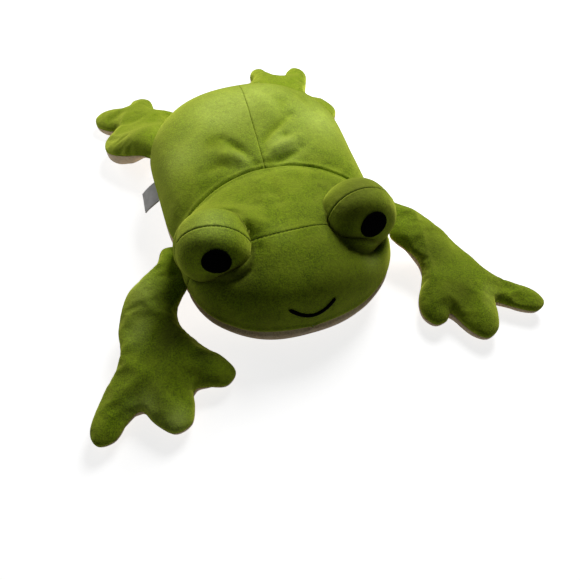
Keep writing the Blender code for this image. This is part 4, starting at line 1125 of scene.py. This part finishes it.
def stuffed_height(points, triangles, edge_count):
    """Half thickness that stuffing gives a pair of flat panels sewn round their edge, from 0 to 1."""
    triangles = np.array(triangles)
    count = len(points)
    stiffness, load = np.zeros((count, count)), np.zeros(count)
    for corner in range(3):
        a, b, c = (triangles[:, (corner + step) % 3] for step in range(3))
        to_a, to_b = points[a] - points[c], points[b] - points[c]
        area = np.maximum(np.abs(to_a[:, 0] * to_b[:, 1] - to_a[:, 1] * to_b[:, 0]), 1e-9)
        weight = (to_a * to_b).sum(axis=1) / area / 2
        np.add.at(load, a, area / 6)
        for first, second in ((a, b), (b, a)):
            np.add.at(stiffness, (first, second), -weight)
            np.add.at(stiffness, (first, first), weight)
    free = np.arange(edge_count, count)
    swell = np.zeros(count)
    swell[free] = np.linalg.solve(stiffness[np.ix_(free, free)], load[free])
    half = np.sqrt(2 * np.maximum(swell, 0))
    return half / np.sqrt(1 + (half / half.max()) ** 2)


def point_normals(points, faces):
    """Outward direction at each point of a mesh of triangles or quads."""
    normals = np.zeros_like(points)
    for face in faces:
        direction = np.cross(points[face[1]] - points[face[0]], points[face[2]] - points[face[0]])
        for corner in face:
            normals[corner] += direction
    return normals / np.maximum(np.linalg.norm(normals, axis=1, keepdims=True), 1e-12)


# The seam round the edge lies a little above the middle, most of all round the bent right knee
SEAM_RISE, KNEE, KNEE_RISE, KNEE_REACH = 2.0, (-150, 85), 8.0, 32
# The flat root holds little fibre, and the limb turns over a stretch of cloth beside its seam
ROOT_FULLNESS, ROOT_REACH, BEND_INSIDE, BEND_OUTSIDE = 0.38, 44, 5, 26
# Rays that start just under the cloth measure the room inside, and cloth and fibre go no deeper than a share
RAY_START, ROOM_SHARE, FIBRE_ROOM_GAP = 0.2 * MM, 0.4, 0.8 * MM
for limb in ("arm_right", "arm_left", "leg_right", "leg_left"):
    flat, triangles, edge_count, centre, outward = limb_cut(limb)
    _, _, _, root_height, end_height, thickness, sink, _ = LIMB_ROOTS[limb]
    corners = flat[np.array(triangles)]
    clockwise = np.cross(corners[:, 1] - corners[:, 0], corners[:, 2] - corners[:, 0]) < 0
    triangles = [tuple(reversed(face)) if wrong else face for face, wrong in zip(triangles, clockwise)]
    half = stuffed_height(flat, triangles, edge_count)
    out = (flat - centre) @ outward
    away = np.linalg.norm(flat - centre, axis=1)
    reach = np.where(away < 60, np.clip((out + ROOT_TUCK) / ROOT_REACH, 0, 1), 1)
    half *= ROOT_FULLNESS + (1 - ROOT_FULLNESS) * reach * reach * (3 - 2 * reach)
    half *= thickness / 2 / half.max()
    middle = end_height + (root_height - end_height) * np.exp(-(away / sink) ** 2)
    raised = SEAM_RISE + KNEE_RISE * np.exp(-(np.linalg.norm(flat - KNEE, axis=1) / KNEE_REACH) ** 2)
    middle += raised * (1 - half / half.max()) ** 2 * np.clip(out / 30, 0, 1)
    count = len(flat)
    top = np.column_stack([flat, middle + half])
    low = np.column_stack([flat, np.maximum(middle - half, 0.5)])
    under = [index if index < edge_count else index + count - edge_count for index in range(count)]
    form = np.vstack([top, low[edge_count:]]) * MM
    faces = triangles + [tuple(under[corner] for corner in reversed(face)) for face in triangles]
    piece = mesh_object("limb_swelling", form, faces)
    held = np.zeros(len(form))
    held[:edge_count] = 1
    moved = stuffed(piece, 4.0, 2.5 * MM, shrink=-0.03, held=held)
    form = form + moved
    lift = np.zeros(len(form))
    for depth, width, line in LIMB_FOLDS[limb]:
        distance, along = distance_to_line(form / MM, line)
        taper = np.sin(np.pi * np.clip(along, 0.1, 0.9)) ** 0.6
        lift += depth * MM * taper * np.exp(-(distance / width) ** 2)
    lift[:edge_count] = 0
    form = form + point_normals(form, faces) * lift[:, None]
    form[:, 2] = np.maximum(form[:, 2], 0.45 * MM)
    mesh = piece.data
    mesh.vertices.foreach_set("co", form.astype(np.float32).reshape(-1))
    mesh.polygons.foreach_set("material_index", [0] * len(triangles) + [1] * len(triangles))
    mesh.materials.append(green_plush)
    mesh.materials.append(beige_plush)
    mesh.update()
    smooth = piece.modifiers.new("smooth", "SUBSURF")
    smooth.levels = smooth.render_levels = 1
    fine = finished_mesh(piece)
    bpy.data.objects.remove(piece)
    points = np.array([tuple(vertex.co) for vertex in fine.vertices])
    fine_faces = [tuple(face.vertices) for face in fine.polygons]
    side_of = [face.material_index for face in fine.polygons]
    normals = point_normals(points, fine_faces)
    walls = BVHTree.FromPolygons([tuple(point) for point in points], fine_faces)
    room = []
    for point, normal in zip(points, normals):
        room.append(walls.ray_cast(Vector(point - normal * RAY_START), Vector(-normal))[3] or 0.01)
    room = ROOM_SHARE * (np.array(room)[:, None] + RAY_START)
    inner = points - normals * np.minimum(CLOTH_THICKNESS, 0.8 * room)
    wad = points - normals * np.minimum(CLOTH_THICKNESS + FIBRE_ROOM_GAP, room)
    short, side_name = limb.split("_")
    for part, index, material, slot in (("top", 0, green_plush, "green_plush"),
                                        ("under", 1, beige_plush, "beige_plush")):
        chosen = [face for face, which in zip(fine_faces, side_of) if which == index]
        piece = sewn_panel(f"{short}_{part}_plush_{side_name}", points, inner, chosen, material,
                           np.zeros(len(points)))
        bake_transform(piece)
        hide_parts(f"{short}_{part}_{side_name}")
    piece = mesh_object(f"{short}_fibre_{side_name}", wad, fine_faces)
    piece.data.materials.append(fibre_fill)
    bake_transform(piece)
    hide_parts(f"{short}_stuffing_{side_name}")


# Side label
# A blank strip of white woven tape, folded double and caught by its ends in the right side seam.
# Its loop stands out of the seam and droops a little.

white_tape, tree, shader = new_material("white_woven_tape")
place = tree.nodes.new("ShaderNodeTexCoord").outputs["Object"]
ribs = tree.nodes.new("ShaderNodeTexWave")
ribs.inputs["Scale"].default_value = 420.0
ribs.bands_direction = "Y"
tree.links.new(place, ribs.inputs["Vector"])
cloudy = noise(tree, place, 90.0, 3.0, 0.6)
whiter = spread(tree, cloudy, 0.35, 0.65)
colour = mix_colours(tree, whiter, (0.56, 0.55, 0.54, 1), (0.72, 0.71, 0.70, 1))
tree.links.new(colour, shader.inputs["Base Color"])
add_bump(tree, shader, ribs.outputs["Fac"], 0.4, 0.15 * MM)
shader.inputs["Roughness"].default_value = 0.55

LABEL_ROOT, LABEL_OUT = np.array((-107.6, -36.5, 46.3)) * MM, np.array((-1.0, -0.027, 0.0))
LABEL_WIDTH, LABEL_STANDS, TAPE_HALF_THICKNESS = 30 * MM, 19.4 * MM, 0.2 * MM
# How far its two layers lie above and below the middle
LABEL_HALF_GAP = 0.45 * MM
# In degrees: a slant that shortens its reach, its droop at the root, and how much that grows to its end
LABEL_SLANT, LABEL_DROOP, LABEL_DROOP_MORE = 32, 24, 14
LABEL_STEPS, LAYER_STEPS, BEND_STEPS = 24, 16, 8


def hanging(reach, over):
    """A point of the strip, from 0 at the seam to 1 at the bend, at a height over its middle."""
    droop = math.radians(LABEL_DROOP + LABEL_DROOP_MORE * reach)
    return reach * LABEL_STANDS, -math.sin(droop) * reach * LABEL_STANDS + over


path = [hanging(step / LAYER_STEPS, LABEL_HALF_GAP) for step in range(LAYER_STEPS + 1)]
bend_height = path[-1][1] - LABEL_HALF_GAP
for step in range(1, BEND_STEPS):
    turn = math.pi * step / BEND_STEPS
    path.append((LABEL_STANDS + LABEL_HALF_GAP * math.sin(turn),
                 bend_height + LABEL_HALF_GAP * math.cos(turn)))
path += [hanging(1 - step / LAYER_STEPS, -LABEL_HALF_GAP) for step in range(LAYER_STEPS + 1)]
path = np.array(path)
path[:, 0] = path[:, 0] * math.cos(math.radians(LABEL_SLANT)) - 1.2 * MM
tangent = np.gradient(path, axis=0)
side_way = np.stack([-tangent[:, 1], tangent[:, 0]], axis=1) / np.linalg.norm(tangent, axis=1, keepdims=True)
wall = side_way * TAPE_HALF_THICKNESS
loop = np.vstack([path + wall, (path - wall)[::-1]])
points = []
for step in range(LABEL_STEPS + 1):
    along = (step / LABEL_STEPS - 0.5) * LABEL_WIDTH
    wave = 0.5 * MM * math.sin(step / LABEL_STEPS * 5.2 + 0.6)
    for out_way, up in loop:
        offset = np.array((0, along, up + wave * out_way / (16 * MM)))
        points.append(LABEL_ROOT + LABEL_OUT * out_way + offset)
count = len(loop)
faces = [tuple(face_corners(step, index, count)) for step in range(LABEL_STEPS) for index in range(count)]
faces += [tuple(range(count))[::-1], tuple(range(LABEL_STEPS * count, (LABEL_STEPS + 1) * count))]
tape = bmesh.new()
corners = [tape.verts.new(point) for point in points]
for face in faces:
    tape.faces.new([corners[index] for index in face])
bmesh.ops.triangulate(tape, faces=[face for face in tape.faces if len(face.verts) > 4])
bmesh.ops.recalc_face_normals(tape, faces=tape.faces)
mesh = bpy.data.meshes.new("side_label")
tape.to_mesh(mesh)
tape.free()
mesh.materials.append(white_tape)
label = bpy.data.objects.new("side_label", mesh)
scene.collection.objects.link(label)
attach(label, "label")
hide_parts("label")


# Camera, light and floor
# The frog lies on a plain white floor, seen from above its right front. One soft light stands behind its
# left side and a weaker one behind its right, so its top is bright and its face lies in shade.

camera = bpy.data.objects.new("camera", bpy.data.cameras.new("camera"))
scene.collection.objects.link(camera)
camera.data.lens, camera.data.sensor_width = 27.8, 36.0
camera.data.clip_start = 0.01
camera.location = (-79.7 * MM, -418.2 * MM, 364.9 * MM)
camera.rotation_euler = (math.radians(90 - 54.2), 0, math.radians(-17.2))
scene.camera = camera

floor = mesh_object("floor", [(-3, -3, 0), (3, -3, 0), (3, 3, 0), (-3, 3, 0)], [(0, 1, 2, 3)])
paper, tree, shader = new_material("white_floor")
shader.inputs["Base Color"].default_value = (0.63, 0.63, 0.63, 1)
shader.inputs["Roughness"].default_value = 0.9
ray = tree.nodes.new("ShaderNodeLightPath")
shader.inputs["Emission Color"].default_value = (1, 1, 1, 1)
glow = spread(tree, ray.outputs["Is Camera Ray"], 0, 1, 0.15, 0.8)
tree.links.new(glow, shader.inputs["Emission Strength"])
floor.data.materials.append(paper)

world = bpy.data.worlds.new("studio")
scene.world = world
world.use_nodes = True
tree = world.node_tree
background = tree.nodes["Background"]
background.inputs["Color"].default_value = (1, 1, 1, 1)
ray = tree.nodes.new("ShaderNodeLightPath")
glow = spread(tree, ray.outputs["Is Camera Ray"], 0, 1, 0.02, 1.0)
tree.links.new(glow, background.inputs["Strength"])

LAMP_SIZE, LAMP_TARGET = 0.5, (0, -0.05, 0.05)


def soft_lamp(name, place, power):
    """A round lamp that faces the frog."""
    lamp = bpy.data.lights.new(name, "AREA")
    lamp.shape, lamp.size, lamp.energy = "DISK", LAMP_SIZE, power
    obj = bpy.data.objects.new(name, lamp)
    obj.location = place
    obj.rotation_euler = (Vector(LAMP_TARGET) - Vector(place)).to_track_quat("-Z", "Y").to_euler()
    scene.collection.objects.link(obj)


soft_lamp("main_light", (0.425, 0.375, 0.651), 7.3)
soft_lamp("fill_light", (-0.565, 0.515, 0.341), 1.4)

scene.view_settings.view_transform = "Standard"
